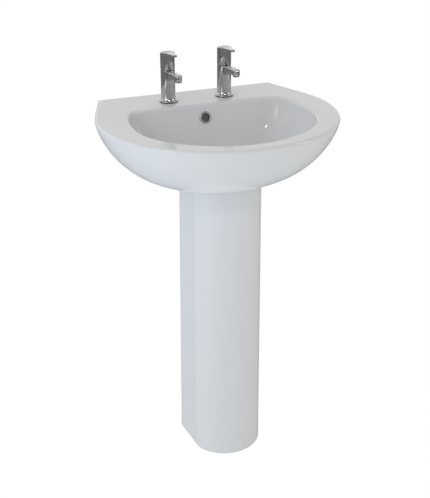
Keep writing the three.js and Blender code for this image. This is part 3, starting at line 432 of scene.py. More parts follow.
RIM_HEIGHT = 850
HALF_DEPTH = 237.5
RIM_PLAN = dict(
    back=HALF_DEPTH, back_half=220, splay=0.3, half=275, widest=41, front=-HALF_DEPTH,
    side_start=69, side_end=47.5, bow_start=173, bow_end=151, corner=4,
)
BOWL_PLAN = dict(
    back=109, back_half=172, splay=0.956, half=205.3, widest=-22.5, front=-200.8,
    side_start=33.7, side_end=42.7, bow_start=95.8, bow_end=104.5, corner=14,
)
PEDESTAL_PLAN = dict(
    back=76.5, back_half=90.5, splay=-0.05, half=85.2, widest=-22.7, front=-95.9,
    side_start=30, side_end=30, bow_start=38, bow_end=45, corner=2,
)
CURVE_SAMPLES = 200
LENGTH_KEYS = ("back_half", "half", "side_start", "side_end", "bow_start", "bow_end", "corner")
PLACE_KEYS = ("back", "widest", "front")


def scaled_plan(plan, scale, centre_y):
    made = dict(plan)
    for key in LENGTH_KEYS:
        made[key] = plan[key] * scale
    for key in PLACE_KEYS:
        made[key] = centre_y + (plan[key] - centre_y) * scale
    return made


def inset_plan(plan, margin):
    scale = (plan["half"] - margin) / plan["half"]
    made = scaled_plan(plan, scale, (plan["back"] + plan["front"]) / 2)
    made["back"] = plan["back"] - margin
    made["front"] = plan["front"] + margin
    return made


def bezier(corners, t):
    a, b, c, d = corners
    u = 1 - t
    return a * u ** 3 + b * 3 * u * u * t + c * 3 * u * t * t + d * t ** 3


def half_outline(plan, corner_steps, side_steps, bow_steps):
    """Right half of a plan, from the back corner round the side to the middle of the front."""
    corner = Vector((plan["back_half"], plan["back"]))
    leaving = Vector((math.sin(plan["splay"]), -math.cos(plan["splay"])))
    widest = Vector((plan["half"], plan["widest"]))
    side = (corner, corner + leaving * plan["side_start"],
            Vector((plan["half"], plan["widest"] + plan["side_end"])), widest)
    bow = (widest, Vector((plan["half"], plan["widest"] - plan["bow_start"])),
           Vector((plan["bow_end"], plan["front"])), Vector((0, plan["front"])))
    fine = [bezier(side, i / CURVE_SAMPLES) for i in range(CURVE_SAMPLES + 1)]
    run = [0.0]
    for first, second in zip(fine, fine[1:]):
        run.append(run[-1] + (second - first).length)

    def along(distance):
        for i in range(CURVE_SAMPLES):
            if run[i + 1] >= distance:
                share = (distance - run[i]) / max(run[i + 1] - run[i], TINY)
                return fine[i].lerp(fine[i + 1], min(max(share, 0), 1))
        return fine[-1]

    start = plan["corner"]
    before, after = corner - Vector((start, 0)), along(start)
    points = []
    for i in range(corner_steps + 1):
        t = i / corner_steps
        points.append(before * (1 - t) ** 2 + corner * (2 * t * (1 - t)) + after * t * t)
    for i in range(1, side_steps + 1):
        points.append(along(start + (run[-1] - start) * i / side_steps))
    points += [bezier(bow, i / bow_steps) for i in range(1, bow_steps + 1)]
    return points


def outline(plan, corner_steps=6, side_steps=14, bow_steps=40, back_steps=14):
    """Closed plan, listed clockwise seen from above and starting at the right back corner."""
    right = half_outline(plan, corner_steps, side_steps, bow_steps)
    left = [Vector((-p.x, p.y)) for p in reversed(right[:-1])]
    back = [left[-1].lerp(right[0], i / back_steps) for i in range(1, back_steps)]
    return right + left + back


def ring(plan, height):
    return [(p.x, p.y, height) for p in outline(plan)]


# ---- basin

RIM_EDGE_RADIUS = 6
EDGE_STEPS = 8
HULL_STEPS = 46
HULL_DROP = 147
HULL_CENTRE_Y = 74
HULL_BOTTOM_SCALE = 0.124
HULL_FALL_POWER = 1.341
HULL_ROUNDNESS = 3.02
HULL_BOTTOM_BACK = 94
BACK_WALL_SCALE = 0.6
BACK_HALF_AT_BOTTOM = 27
BACK_HALF_AT_WALL = 105
BOWL_STEPS = 44
BOWL_DEPTH = 134
BOWL_LIP_RADIUS = 7
BOWL_BOTTOM_SCALE = 0.17
BOWL_FALL_POWER = 1.8
BOWL_ROUNDNESS = 2.4
BOWL_BOTTOM_RADIUS = 35.5
BOWL_CORNER_GROWTH = 0.16
ROUND_BELOW_SCALE = 0.62
WASTE_Y = -15
WASTE_SEAT = 711.5
WASTE_HOLE_RADIUS = 23
WASTE_BOSS_RADIUS = 36
WASTE_BOSS_HEIGHTS = (696, 706)
SEAT_RADIUS = 33
SEAT_EDGE = ((34.4, -0.1), (33.4, -0.6), (SEAT_RADIUS, -1.5), (SEAT_RADIUS, -4), (32.4, -4.5))
OVERFLOW_DEPTH = 31
OVERFLOW_HOLE_RADIUS = 12.2
CAVITY_DEPTHS = (16, 17, 20, 26, 34, 50, 65, 80, 92, 105, 115, 125, 130, 135, 160)
CAVITY_ROOF_INSETS = {16: 6, 17: 3.2, 20: 0.8}
CAVITY_SIDE_WALL = 14
CAVITY_BOWL_WALL = 13
CAVITY_LEAST_FRONT = 64
CAVITY_BACK = 225.5
CAVITY_CORNER = 7
SPINE_HALF_WIDTH = 28
TAP_X = 70
TAP_Y = 163
TAP_HOLE_RADIUS = 15
WALL_HOLE_X = 140
WALL_HOLE_Z = 790
WALL_HOLE_RADIUS = 7
SIDES = (-1, 1)


def mapped(value, low, high, start, end):
    return start + (end - start) * (value - low) / (high - low)


def hull_scale(depth):
    curve = (1 - min(depth / HULL_DROP, 1) ** HULL_FALL_POWER) ** (1 / HULL_ROUNDNESS)
    return HULL_BOTTOM_SCALE + (1 - HULL_BOTTOM_SCALE) * curve


def back_half_width(scale):
    if scale > BACK_WALL_SCALE:
        return mapped(scale, BACK_WALL_SCALE, 1, BACK_HALF_AT_WALL, RIM_PLAN["back_half"])
    return mapped(
        scale, HULL_BOTTOM_SCALE, BACK_WALL_SCALE, BACK_HALF_AT_BOTTOM, BACK_HALF_AT_WALL,
    )


def hull_plan(scale):
    plan = scaled_plan(RIM_PLAN, scale, HULL_CENTRE_Y)
    back = mapped(scale, HULL_BOTTOM_SCALE, BACK_WALL_SCALE, HULL_BOTTOM_BACK, HALF_DEPTH)
    plan["back"] = min(back, HALF_DEPTH)
    plan["back_half"] = back_half_width(scale)
    return plan


def hull_rings(drop=0.0):
    """Outer skin from the bottom up to the flat deck, lowered by a drop."""
    rings = []
    for i in range(HULL_STEPS, -1, -1):
        depth = HULL_DROP * math.sin(i / HULL_STEPS * math.pi / 2)
        height = RIM_HEIGHT - RIM_EDGE_RADIUS - depth - drop
        rings.append(ring(hull_plan(hull_scale(depth)), height))
    for i in range(EDGE_STEPS - 1, -1, -1):
        angle = i / EDGE_STEPS * math.pi / 2
        margin = RIM_EDGE_RADIUS * (1 - math.sin(angle))
        height = RIM_HEIGHT - RIM_EDGE_RADIUS * (1 - math.cos(angle)) - drop
        rings.append(ring(inset_plan(RIM_PLAN, margin), height))
    return rings


def bowl_scale(depth):
    fall = max(depth - BOWL_LIP_RADIUS, 0) / (BOWL_DEPTH - BOWL_LIP_RADIUS)
    curve = (1 - min(fall, 1) ** BOWL_FALL_POWER) ** (1 / BOWL_ROUNDNESS)
    return BOWL_BOTTOM_SCALE + (1 - BOWL_BOTTOM_SCALE) * curve


def bowl_back(depth):
    return WASTE_Y + (BOWL_PLAN["back"] - WASTE_Y) * bowl_scale(depth)


def towards_circle(points, radius, share):
    """Moves a ring part of the way to a circle about the waste."""
    made = []
    for x, y, z in points:
        angle = math.atan2(y - WASTE_Y, x)
        target = (radius * math.cos(angle), WASTE_Y + radius * math.sin(angle))
        made.append((x + (target[0] - x) * share, y + (target[1] - y) * share, z))
    return made


def bowl_rings():
    """Inner skin from the lip down to the waste's seat."""
    rings = []
    for i in range(EDGE_STEPS + 1):
        angle = i / EDGE_STEPS * math.pi / 2
        margin = -BOWL_LIP_RADIUS * (1 - math.sin(angle))
        height = RIM_HEIGHT - BOWL_LIP_RADIUS * (1 - math.cos(angle))
        rings.append(ring(inset_plan(BOWL_PLAN, margin), height))
    fall = BOWL_DEPTH - BOWL_LIP_RADIUS
    for i in range(1, BOWL_STEPS + 1):
        depth = BOWL_LIP_RADIUS + fall * math.sin(i / BOWL_STEPS * math.pi / 2)
        scale = bowl_scale(depth)
        plan = scaled_plan(BOWL_PLAN, scale, WASTE_Y)
        plan["corner"] = BOWL_PLAN["corner"] * scale + BOWL_CORNER_GROWTH * depth * scale
        share = (ROUND_BELOW_SCALE - scale) / (ROUND_BELOW_SCALE - BOWL_BOTTOM_SCALE)
        share = min(max(share, 0), 1)
        share = share * share * (3 - 2 * share)
        points = ring(plan, RIM_HEIGHT - depth)
        rings.append(towards_circle(points, BOWL_BOTTOM_RADIUS, share))
    last = rings[-1]
    for radius, height in SEAT_EDGE:
        lowered = [(x, y, RIM_HEIGHT - BOWL_DEPTH + height) for x, y, _ in last]
        rings.append(towards_circle(lowered, radius, 1))
    return rings


def deck_rings(outer, inner):
    """Flat deck between the rim's edge and the bowl's lip, with a tight ring beside each."""
    rings = []
    for share in (0.03, 0.1, 0.5, 0.9, 0.97):
        rings.append([
            (a[0] + (b[0] - a[0]) * share, a[1] + (b[1] - a[1]) * share, RIM_HEIGHT)
            for a, b in zip(outer, inner)
        ])
    return rings


def cavity_tool(side):
    """Service space behind the bowl on one side, with cast corners."""
    rings = []
    for depth in CAVITY_DEPTHS:
        scale = max(hull_scale(max(depth - RIM_EDGE_RADIUS, 0)), BACK_WALL_SCALE)
        outer = back_half_width(scale) - CAVITY_SIDE_WALL
        front = max(bowl_back(depth) + CAVITY_BOWL_WALL, CAVITY_LEAST_FRONT)
        inset = CAVITY_ROOF_INSETS.get(depth, 0)
        low, high = sorted((side * (SPINE_HALF_WIDTH + inset), side * (outer - inset)))
        sides = (low, high, front + inset, CAVITY_BACK - inset)
        rings.append(rounded_rectangle(*sides, RIM_HEIGHT - depth, CAVITY_CORNER))
    return loft("tool", list(reversed(rings)))


CHANNEL_SIDES = (-12, 12, -3.5, 3.5)


def channel_tool():
    """Water passage from the overflow down behind the bowl to the waste."""
    behind_bowl = ((20, 9), (45, 8), (80, 9), (110, 11))
    path = [Vector((bowl_back(depth) + wall, RIM_HEIGHT - depth)) for depth, wall in behind_bowl]
    path += [Vector(p) for p in ((44, 718), (24, 706.5), (-8, 703))]
    rings = []
    for i, at in enumerate(path):
        along = (path[min(i + 1, len(path) - 1)] - path[max(i - 1, 0)]).normalized()
        across = Vector((-along.y, along.x))
        section = rounded_rectangle(*CHANNEL_SIDES, 0, 3)
        rings.append([(x, at.x - across.x * y, at.y - across.y * y) for x, y, _ in section])
    return loft("tool", rings)


OVERFLOW_TILT = math.atan((bowl_back(21) - bowl_back(41)) / 20)
OVERFLOW_PLACE = (0, bowl_back(OVERFLOW_DEPTH), RIM_HEIGHT - OVERFLOW_DEPTH)
OVERFLOW_TURN = Matrix.Rotation(math.pi / 2 - OVERFLOW_TILT, 4, "X")
ALONG_Y = Matrix.Rotation(-math.pi / 2, 4, "X")


def make_basin():
    outer = hull_rings()
    inner = bowl_rings()
    rings = outer + deck_rings(outer[-1], inner[0]) + inner
    basin = loft("basin", [list(reversed(r)) for r in rings])
    boss = rod(WASTE_BOSS_RADIUS, *WASTE_BOSS_HEIGHTS, (0, WASTE_Y, 0), segments=96)
    combined(basin, "UNION", boss)
    tools = [
        rod(WASTE_HOLE_RADIUS, 680, 730, (0, WASTE_Y, 0), segments=96),
        rod(OVERFLOW_HOLE_RADIUS, -30, 10, OVERFLOW_PLACE, OVERFLOW_TURN),
        channel_tool(),
    ]
    for side in SIDES:
        tap_hole = (side * TAP_X, TAP_Y, RIM_HEIGHT)
        wall_hole = (side * WALL_HOLE_X, HALF_DEPTH, WALL_HOLE_Z)
        tools.append(cavity_tool(side))
        tools.append(rod(TAP_HOLE_RADIUS, -40, 5, tap_hole))
        tools.append(rod(WALL_HOLE_RADIUS, -30, 30, wall_hole, ALONG_Y, 40))
    combined(basin, "DIFFERENCE", *tools)
    piece(basin, "ceramic_basin", "glazed_ceramic", "basin")


RING_WALL = 1.9


def make_overflow_ring():
    sleeve = OVERFLOW_HOLE_RADIUS - GAP
    bore = sleeve - RING_WALL
    profile = [
        (bore, -9), (sleeve, -9), (sleeve, 0.9), (14.2, 0.9),
        (14.2, 1.8), (13.2, 2.8), (bore + 1, 2.8), (bore, 1.8),
    ]
    made = turned("ring", profile, OVERFLOW_PLACE, 72, 0.5, None, OVERFLOW_TURN)
    piece(made, "overflow_trim", "chrome", "overflow_ring")


# ---- pedestal

PEDESTAL_TOP = 752
PEDESTAL_WALL = 12
PEDESTAL_LEVELS = 24
TAPER_HEIGHT = 720
TAPER = dict(back=18, back_half=4, half=4)  # what the plan loses over the taper's height
FOOT_EDGE = [(0, 3.2), (0.4, 1.9), (1.2, 0.9), (2.4, 0.25), (4, 0)]  # (height, inset)
BRIDGE = (-78, 78, 46, 58, 120, 145)
LUG_X = (44, 80)
LUG_Y = (34, 66)
LUG_TOP = 14
FLOOR_HOLE = (60, 50)
FLOOR_HOLE_RADIUS = 5.2
EDGE_TURN_STEPS = 8
WALL_COLLAR = [(4.6, -11), (6.7, -11), (6.7, 0), (11, 0), (11, 1.6), (10, 2.5), (4.6, 2.5)]
FLOOR_COLLAR = [(3.4, -11), (4.9, -11), (4.9, 0), (9.5, 0), (9.5, 1.6), (8.5, 2.5), (3.4, 2.5)]


def pedestal_plan(height):
    share = height / TAPER_HEIGHT
    plan = dict(PEDESTAL_PLAN)
    for key, loss in TAPER.items():
        plan[key] -= loss * share
    return plan


def pedestal_ring(height, inset):
    """Horseshoe section of the pedestal's wall, with rounded back edges."""
    plan = pedestal_plan(height)
    outer = inset_plan(plan, inset)
    inner = inset_plan(plan, PEDESTAL_WALL - inset)
    outer["back"] = inner["back"] = plan["back"] - inset
    right = half_outline(outer, 1, 10, 26)[2:]
    left = [Vector((-p.x, p.y)) for p in reversed(right[:-1])]
    inner_right = half_outline(inner, 1, 10, 26)[2:]
    inner_left = [Vector((-p.x, p.y)) for p in reversed(inner_right[:-1])]
    skin = right + left
    lining = list(reversed(inner_right + inner_left))
    turn_left = edge_turn(skin[-1], lining[0], outer["back"])
    turn_right = edge_turn(lining[-1], skin[0], outer["back"])
    return [(p.x, p.y, height) for p in skin + turn_left + lining + turn_right]


def edge_turn(start, end, back):
    """Rounded end of the wall between its outer and inner skin."""
    made = []
    middle = (start + end) / 2
    for i in range(1, EDGE_TURN_STEPS):
        angle = math.pi * i / EDGE_TURN_STEPS
        swing = math.copysign(abs(math.cos(angle)) ** 0.5, math.cos(angle))
        side = middle + (start - middle) * swing
        reach = math.sin(angle) ** 0.5
        made.append(Vector((side.x, side.y + (back - side.y) * reach)))
    return made


def make_pedestal():
    start = FOOT_EDGE[-1][0]
    levels = list(FOOT_EDGE)
    for i in range(1, PEDESTAL_LEVELS + 1):
        levels.append((start + (PEDESTAL_TOP - start) * i / PEDESTAL_LEVELS, 0))
    rings = [pedestal_ring(height, inset) for height, inset in levels]
    count = len(rings[0])
    points = [p for r in rings for p in r]
    faces = []
    for level in range(len(rings) - 1):
        for i in range(count):
            a, b = level * count + i, level * count + (i + 1) % count
            faces.append((b, a, a + count, b + count))
    faces.append(tuple(range(count)))
    faces.append(tuple(reversed(range((len(rings) - 1) * count, len(rings) * count))))
    shell = mesh_object("pedestal", points, faces)
    tools = [block(*BRIDGE)]
    holes = []
    for side in SIDES:
        low, high = sorted(side * x for x in LUG_X)
        tools.append(block(low, high, *LUG_Y, 0, LUG_TOP))
    combined(shell, "UNION", *tools)
    for side in SIDES:
        place = (side * FLOOR_HOLE[0], FLOOR_HOLE[1], 0)
        holes.append(rod(FLOOR_HOLE_RADIUS, -5, 20, place, segments=40))
    seat = loft("tool", [list(reversed(r)) for r in hull_rings(GAP)])
    combined(shell, "DIFFERENCE", *holes, seat)
    piece(shell, "ceramic_pedestal", "glazed_ceramic", "pedestal")


def make_collars():
    turn = Matrix.Rotation(math.pi / 2, 4, "X")
    for name, side in zip(("left", "right"), SIDES):
        place = (side * WALL_HOLE_X, CAVITY_BACK - GAP, WALL_HOLE_Z)
        made = turned("collar", WALL_COLLAR, place, 48, 0.4, None, turn)
        piece(made, f"wall_sleeve_{name}", "nylon", f"wall_collar_{name}")
        place = (side * FLOOR_HOLE[0], FLOOR_HOLE[1], LUG_TOP + GAP)
        made = turned("collar", FLOOR_COLLAR, place, 48, 0.4)
        piece(made, f"floor_sleeve_{name}", "nylon", f"floor_collar_{name}")


# ---- waste and trap

THREAD_PITCH = 1.8
TAIL_RADIUS = 20.8
TAIL_BORE = 17.8
TAIL_END = 652
OVERFLOW_SLOT = (-8, 8, -45, 15, 700.5, 708)
CROSSBAR = (-TAIL_BORE - 1, TAIL_BORE + 1, -18, -12, 688, 695)
TOUCH = 0.01  # how near a point is to a surface that it counts as on


def threaded(radius, pitch, depth, low, high):
    """A wave for turned() that cuts a thread between two heights."""
    def wave(angle, reach, height):
        if reach < radius - TOUCH or height < low or height > high:
            return reach
        phase = (height / pitch - angle / (2 * math.pi)) % 1
        fade = min(1, (height - low) / pitch, (high - height) / pitch)
        return reach - depth * abs(2 * phase - 1) * fade
    return wave


STEPS_PER_TURN = 6


def thread_steps(radius, low, high, pitch):
    """Profile points close enough together to carry a thread."""
    count = int((high - low) / pitch * STEPS_PER_TURN)
    return [(radius, low + (high - low) * i / count) for i in range(count + 1)]


def ribbed(count, height, low, high, outer):
    """A wave for turned() that raises ribs on a nut between two heights."""
    def wave(angle, radius, z):
        if radius < outer - TOUCH or not low < z < high:
            return radius
        return radius + height * max(0, math.cos(angle * count)) ** 1.5
    return wave


def make_waste():
    centre = (0, WASTE_Y, 0)
    seat = WASTE_SEAT
    thread_top = seat - 12
    profile = [
        (TAIL_BORE, TAIL_END), (TAIL_RADIUS - 1, TAIL_END),
        *thread_steps(TAIL_RADIUS, TAIL_END + 0.5, thread_top, THREAD_PITCH),
        (TAIL_RADIUS, seat + 2.2), (31.5, seat + 2.2), (31.5, seat + 4), (30.6, seat + 4.9),
        (29.2, seat + 5.1), (27.4, seat + 4.6), (20.8, seat + 3.3), (18.6, seat + 2.4),
        (TAIL_BORE, seat + 1),
    ]
    thread = threaded(TAIL_RADIUS, THREAD_PITCH, 0.8, TAIL_END, thread_top)
    flange = turned("flange", profile, centre, 72, 0.1, thread)
    combined(flange, "DIFFERENCE", block(*OVERFLOW_SLOT))
    combined(flange, "UNION", block(*CROSSBAR, radius=1), rod(9.5, 686, 696, centre))
    combined(flange, "DIFFERENCE", rod(6.5, 680, 700, centre))
    piece(flange, "slotted_waste", "chrome", "waste_flange")
    low, high = seat + 0.3, seat + 1.9
    top = turned("seal", [(23.8, low), (30, low), (30, high), (23.8, high)], centre)
    piece(top, "upper_gasket", "rubber", "waste_top_seal")
    profile = [(21.1, 688.5), (32, 688.5), (33, 690), (31, 695.7), (21.1, 695.7)]
    under = turned("seal", profile, centre, 64, 0.8)
    piece(under, "under_gasket", "rubber", "waste_bottom_seal")
    lugs = ribbed(4, 6, 677, 684.5, 28)
    profile = [
        (21.1, 676), (28, 676), (28, 677.4), (28, 677.6), (28, 684), (28, 684.6), (28, 688.2),
        (21.1, 688.2),
    ]
    nut = turned("nut", profile, centre, 96, 0.35, lugs)
    piece(nut, "flanged_backnut", "brass", "waste_back_nut")
    profile = [
        (0, 726), (24.5, 726), (26, 727.2), (25.7, 729), (22, 730.5), (14, 731.7), (6, 732.3),
        (0, 732.4),
    ]
    cap = turned("cap", profile, centre, 96, 0.7)
    piece(cap, "plug_dome", "chrome", "plug_cap", body="waste_plug")
    profile = [(18.5, 723.8), (23, 723.8), (23, 725.7), (18.5, 725.7)]
    seal = turned("seal", profile, centre, 64, 0.7)
    piece(seal, "plug_gasket", "rubber", "plug_seal", body="waste_plug")


TRAP_TOP = 649.3
ARM_HEIGHT = 612


def make_trap():
    centre = (0, WASTE_Y, 0)
    outlet = (0, WASTE_Y, ARM_HEIGHT)
    profile = [
        (0, 576), (30, 576), (30, 628), (27, 632), (17.4, 634), (17.4, TRAP_TOP - 6),
        (20.6, TRAP_TOP - 6), (20.6, TRAP_TOP), (0, TRAP_TOP),
    ]
    head = turned("head", profile, centre, 72, 1.2)
    combined(head, "UNION", rod(19, 20, 57, outlet, ALONG_Y))
    chamber, inlet = rod(26.8, 571, 629, centre), rod(14, 624, 655, centre)
    combined(head, "DIFFERENCE", chamber, inlet, rod(16, 15, 62, outlet, ALONG_Y))
    piece(head, "trap_upper", "white_plastic", "trap_head")
    profile = [
        (0, 526), (12, 526.2), (20, 527.4), (26, 530.5), (29.5, 535), (31, 541), (31, 569),
        (34, 571.5), (34, 573.2), (34, 588.2), (34, 590), (30.3, 590), (30.3, 574), (28, 574),
        (28, 543), (25, 535), (16, 531), (0, 530),
    ]
    cup = turned("cup", profile, centre, 120, 0.8, ribbed(20, 1.6, 573, 588.5, 34))
    piece(cup, "trap_bottle", "white_plastic", "trap_cup")
    profile = [(11, 542), (13.7, 542), (13.7, 642), (11, 642)]
    tube = turned("tube", profile, centre, 48, 0.5)
    piece(tube, "trap_inner_tube", "white_plastic", "trap_dip_tube")
    profile = [
        (17.7, 638), (26, 638), (26, 642.5), (26, 664.5), (26, 668), (21.1, 668), (21.1, 643),
        (17.7, 643),
    ]
    nut = turned("nut", profile, centre, 128, 0.8, ribbed(16, 1.8, 642, 665, 26))
    piece(nut, "trap_top_nut", "white_plastic", "trap_inlet_nut")
    profile = [
        (19.3, 44), (24, 44), (24, 48.5), (24, 62.5), (24, 66), (16.5, 66), (16.5, 60.6),
        (19.3, 60.6),
    ]
    nut = turned("nut", profile, outlet, 128, 0.8, ribbed(16, 1.8, 48, 63, 24), ALONG_Y)
    piece(nut, "trap_side_nut", "white_plastic", "trap_outlet_nut")


# ---- taps

TAP_RADIUS = 16.6
FLANGE_RADIUS = 21.8
BODY_BOTTOM = 1.8
BODY_TOP = 74
NOZZLE_Y = -73.5
NOZZLE_BOTTOM = 64
SPOUT_HALF = 8.5
SPOUT_END = -82
LEVER_BOTTOM = 75.3
LEVER_TOP = 114.8
LEVER_REACH = 57
LEVER_TILT = 0.075
TAP_SMOOTH = 30
FLARE_STEPS = 12
FLARE_REACH = 4.4
FLARE_HEIGHT = 9
FLARE_BOTTOM = BODY_BOTTOM + 2.4


def between(table, at):
    """Straight interpolation in a table of (place, value) pairs that fall in place."""
    for (a, low), (b, high) in zip(table, table[1:]):
        if at >= b:
            return low + (high - low) * (at - a) / (b - a)
    return table[-1][1]


SPOUT_TOP = [
    (0, 72.4), (-18, 73), (-24, 74.2), (-32, 75.5), (-44, 76.7), (-56, 77.5), (-68, 78),
    (-75, 77.8), (-79, 77), (-81, 76), (-82, 75),
]
SPOUT_UNDER = [
    (0, 46), (-12, 50.5), (-20, 54.5), (-32, 59), (-44, 62), (-54, 63.6), (-64, 64), (-82, 64),
]
SPOUT_BEND = SPOUT_END + SPOUT_HALF  # from here on the spout's plan is half a circle
SPOUT_PLACES = (0, -8, -12, -16, -20, -26, -32, -38, -44, -50, -56, -62, -66, -70)
SPOUT_BEND_ANGLES = (0, 12, 24, 36, 48, 58, 67, 75, 82, 88)
SPOUT_CORNER = 2.6


def spout_section(y, centre):
    width = SPOUT_HALF
    if y < SPOUT_BEND:
        width = math.sqrt(max(SPOUT_HALF ** 2 - (SPOUT_BEND - y) ** 2, 0.05))
    top, under = between(SPOUT_TOP, y), between(SPOUT_UNDER, y)
    radius = min(SPOUT_CORNER, width * 0.7)
    points = rounded_rectangle(-width, width, under, top, 0, radius, 6)
    return [(centre[0] + x, centre[1] + y, centre[2] + z) for x, z, _ in points]


def spout(centre):
    places = list(SPOUT_PLACES)
    for angle in SPOUT_BEND_ANGLES:
        places.append(SPOUT_BEND - SPOUT_HALF * math.sin(math.radians(angle)))
    return loft("spout", [spout_section(y, centre) for y in places])


def foot_flare():
    """Profile of the hollow curve between the tap's foot and its barrel."""
    points = []
    for i in range(FLARE_STEPS + 1):
        angle = i / FLARE_STEPS * math.pi / 2
        radius = TAP_RADIUS + FLARE_REACH * (1 - math.sin(angle))
        points.append((radius, FLARE_BOTTOM + FLARE_HEIGHT * (1 - math.cos(angle))))
    return points


def make_tap_body(name, centre):
    foot, top, radius = BODY_BOTTOM, BODY_TOP, TAP_RADIUS
    profile = [
        (0, foot), (21, foot), (21.6, foot + 0.3), (FLANGE_RADIUS, foot + 0.9),
        (21.6, foot + 1.5), (21.0, foot + 1.9), *foot_flare(), (radius, 40),
        (radius, top - 0.7), (radius - 0.2, top - 0.2), (radius - 0.7, top), (0, top),
    ]
    body = turned("tap", profile, centre, 96, 0.15)
    combined(body, "UNION", spout(centre), smooth=TAP_SMOOTH)
    nozzle = (centre[0], centre[1] + NOZZLE_Y, centre[2])
    valve_space = rod(12.5, 38, top + 5, centre)
    inlet = rod(6, 0, 40, centre)
    tail_socket = rod(10.6, -5, 12.3, centre)
    aerator_socket = rod(6.8, NOZZLE_BOTTOM - 5, NOZZLE_BOTTOM + 8.5, nozzle)
    tools = (valve_space, inlet, tail_socket, aerator_socket)
    combined(body, "DIFFERENCE", *tools, smooth=TAP_SMOOTH)
    piece(body, f"{name}_pillar", "chrome", f"{name}_tap_body")


def chaikin(points):
    """A closed outline with its corners cut twice."""
    for _ in range(2):
        made = []
        for a, b in zip(points, points[1:] + points[:1]):
            made += [a.lerp(b, 0.25), a.lerp(b, 0.75)]
        points = made
    return points


CAP_STEPS = 48
CAP_START, CAP_SWEEP = -46, 272  # degrees of the cap's arc, which leaves out the tongue's root
TONGUE = ((8.9, -18.5), (7.4, -26), (6.2, -40))
TIP_STEPS = 12
TIP_RADIUS = 5.2


def lever_outline():
    """Plan of the lever's cap: a disc with a tapering tongue towards the front."""
    points = []
    for i in range(CAP_STEPS + 1):
        angle = math.radians(CAP_START + i / CAP_STEPS * CAP_SWEEP)
        points.append(Vector((TAP_RADIUS * math.cos(angle), TAP_RADIUS * math.sin(angle))))
    points += [Vector((-x, y)) for x, y in TONGUE]
    tip_y = -LEVER_REACH + TIP_RADIUS
    for i in range(TIP_STEPS + 1):
        angle = math.pi + i / TIP_STEPS * math.pi
        points.append(Vector((TIP_RADIUS * math.cos(angle), tip_y + TIP_RADIUS * math.sin(angle))))
    points += [Vector(p) for p in reversed(TONGUE)]
    return chaikin(points)


def drawn_in(points, margin):
    """The outline with each point moved inwards by a margin."""
    made = []
    count = len(points)
    for i, here in enumerate(points):
        along = (points[(i + 1) % count] - points[i - 1]).normalized()
        made.append(here + Vector((-along.y, along.x)) * margin)
    return made


def lever_height(y, down=0.0):
    return LEVER_TOP - y * math.tan(LEVER_TILT) - down


LEVER_UNDER = [(20, 6.5), (-18, 6.5), (-30, 5.2), (-46, 3.9), (-50, 4.6), (-53, 5.4), (-58, 5.4)]
LEVER_CROWN = 2.2
PLATE_ROUND = 1.5
PLATE_MIDDLE = Vector((0, -9))
CROWN_SHARES = (0.94, 0.88, 0.8, 0.7, 0.6, 0.5, 0.4, 0.3, 0.2, 0.1, 0.04)


def crown(x, y):
    """Height of the lever's shallow dome above its flat cap."""
    share = min(math.hypot(x, y) / (TAP_RADIUS - 1), 1)
    return LEVER_CROWN * (1 - share * share) ** 1.2


def lever_plate(centre):
    """Cap and tongue of the lever, with rounded edges and a shallow dome over the hub."""
    plan = lever_outline()
    inner = drawn_in(plan, PLATE_ROUND)
    under = [PLATE_MIDDLE.lerp(q, 0.3) for q in inner]
    rings = [[(p.x, p.y, lever_height(p.y, between(LEVER_UNDER, p.y))) for p in under]]
    for i in range(6):
        angle = i / 5 * math.pi / 2
        lift = PLATE_ROUND * 0.6 * (1 - math.cos(angle))
        edge = drawn_in(plan, PLATE_ROUND * (1 - math.sin(angle)))
        rings.append([
            (p.x, p.y, lever_height(p.y, between(LEVER_UNDER, p.y) - lift)) for p in edge
        ])
    for i in range(7):
        angle = i / 6 * math.pi / 2
        edge = drawn_in(plan, PLATE_ROUND * (1 - math.cos(angle)))
        drop = PLATE_ROUND * (1 - math.sin(angle))
        rings.append([(p.x, p.y, lever_height(p.y, drop)) for p in edge])
    for share in CROWN_SHARES:
        top = [PLATE_MIDDLE.lerp(q, share) for q in inner]
        rings.append([(p.x, p.y, lever_height(p.y) + crown(p.x, p.y)) for p in top])
    placed = [[(centre[0] + x, centre[1] + y, centre[2] + z) for x, y, z in r] for r in rings]
    return loft("plate", placed)


def make_lever(name, centre):
    profile = [
        (0, LEVER_BOTTOM), (TAP_RADIUS - 0.6, LEVER_BOTTOM), (TAP_RADIUS, LEVER_BOTTOM + 0.6),
        (TAP_RADIUS, 95), (TAP_RADIUS, 110), (0, 110),
    ]
    hub = turned("hub", profile, centre, 96, 0.25)
    combined(hub, "UNION", lever_plate(centre), smooth=TAP_SMOOTH)
    screw_way = rod(2.3, 3, 20, (centre[0], centre[1], centre[2] + 91), ALONG_Y, 32)
    valve_space, spindle_way = rod(13.2, 70, 82, centre), rod(4.3, 75, 98.3, centre)
    tools = (valve_space, spindle_way, screw_way)
    combined(hub, "DIFFERENCE", *tools, smooth=TAP_SMOOTH)
    piece(hub, f"{name}_handle_lever", "chrome", f"{name}_lever", body=f"{name}_handle")


NUT_TOP = -21.2  # the hexagon is below this, the nut's round flange above
NUT_HALF = 15
NUT_CORNER = 17.4
NUT_CHAMFER_START = -29.2
TAP_TAIL_RADIUS = 10.3
TAP_TAIL_END = -60


def hexagon(angle, radius, height):
    """Radius of a hexagon nut with chamfered lower corners, up to its round flange."""
    if radius < NUT_HALF - 1 or height > NUT_TOP:
        return radius
    flat = NUT_HALF / math.cos((angle + math.pi / 6) % (math.pi / 3) - math.pi / 6)
    chamfer = NUT_CORNER - 1.6 * max(0, (NUT_CHAMFER_START - height) / 1.8)
    return min(flat, chamfer)


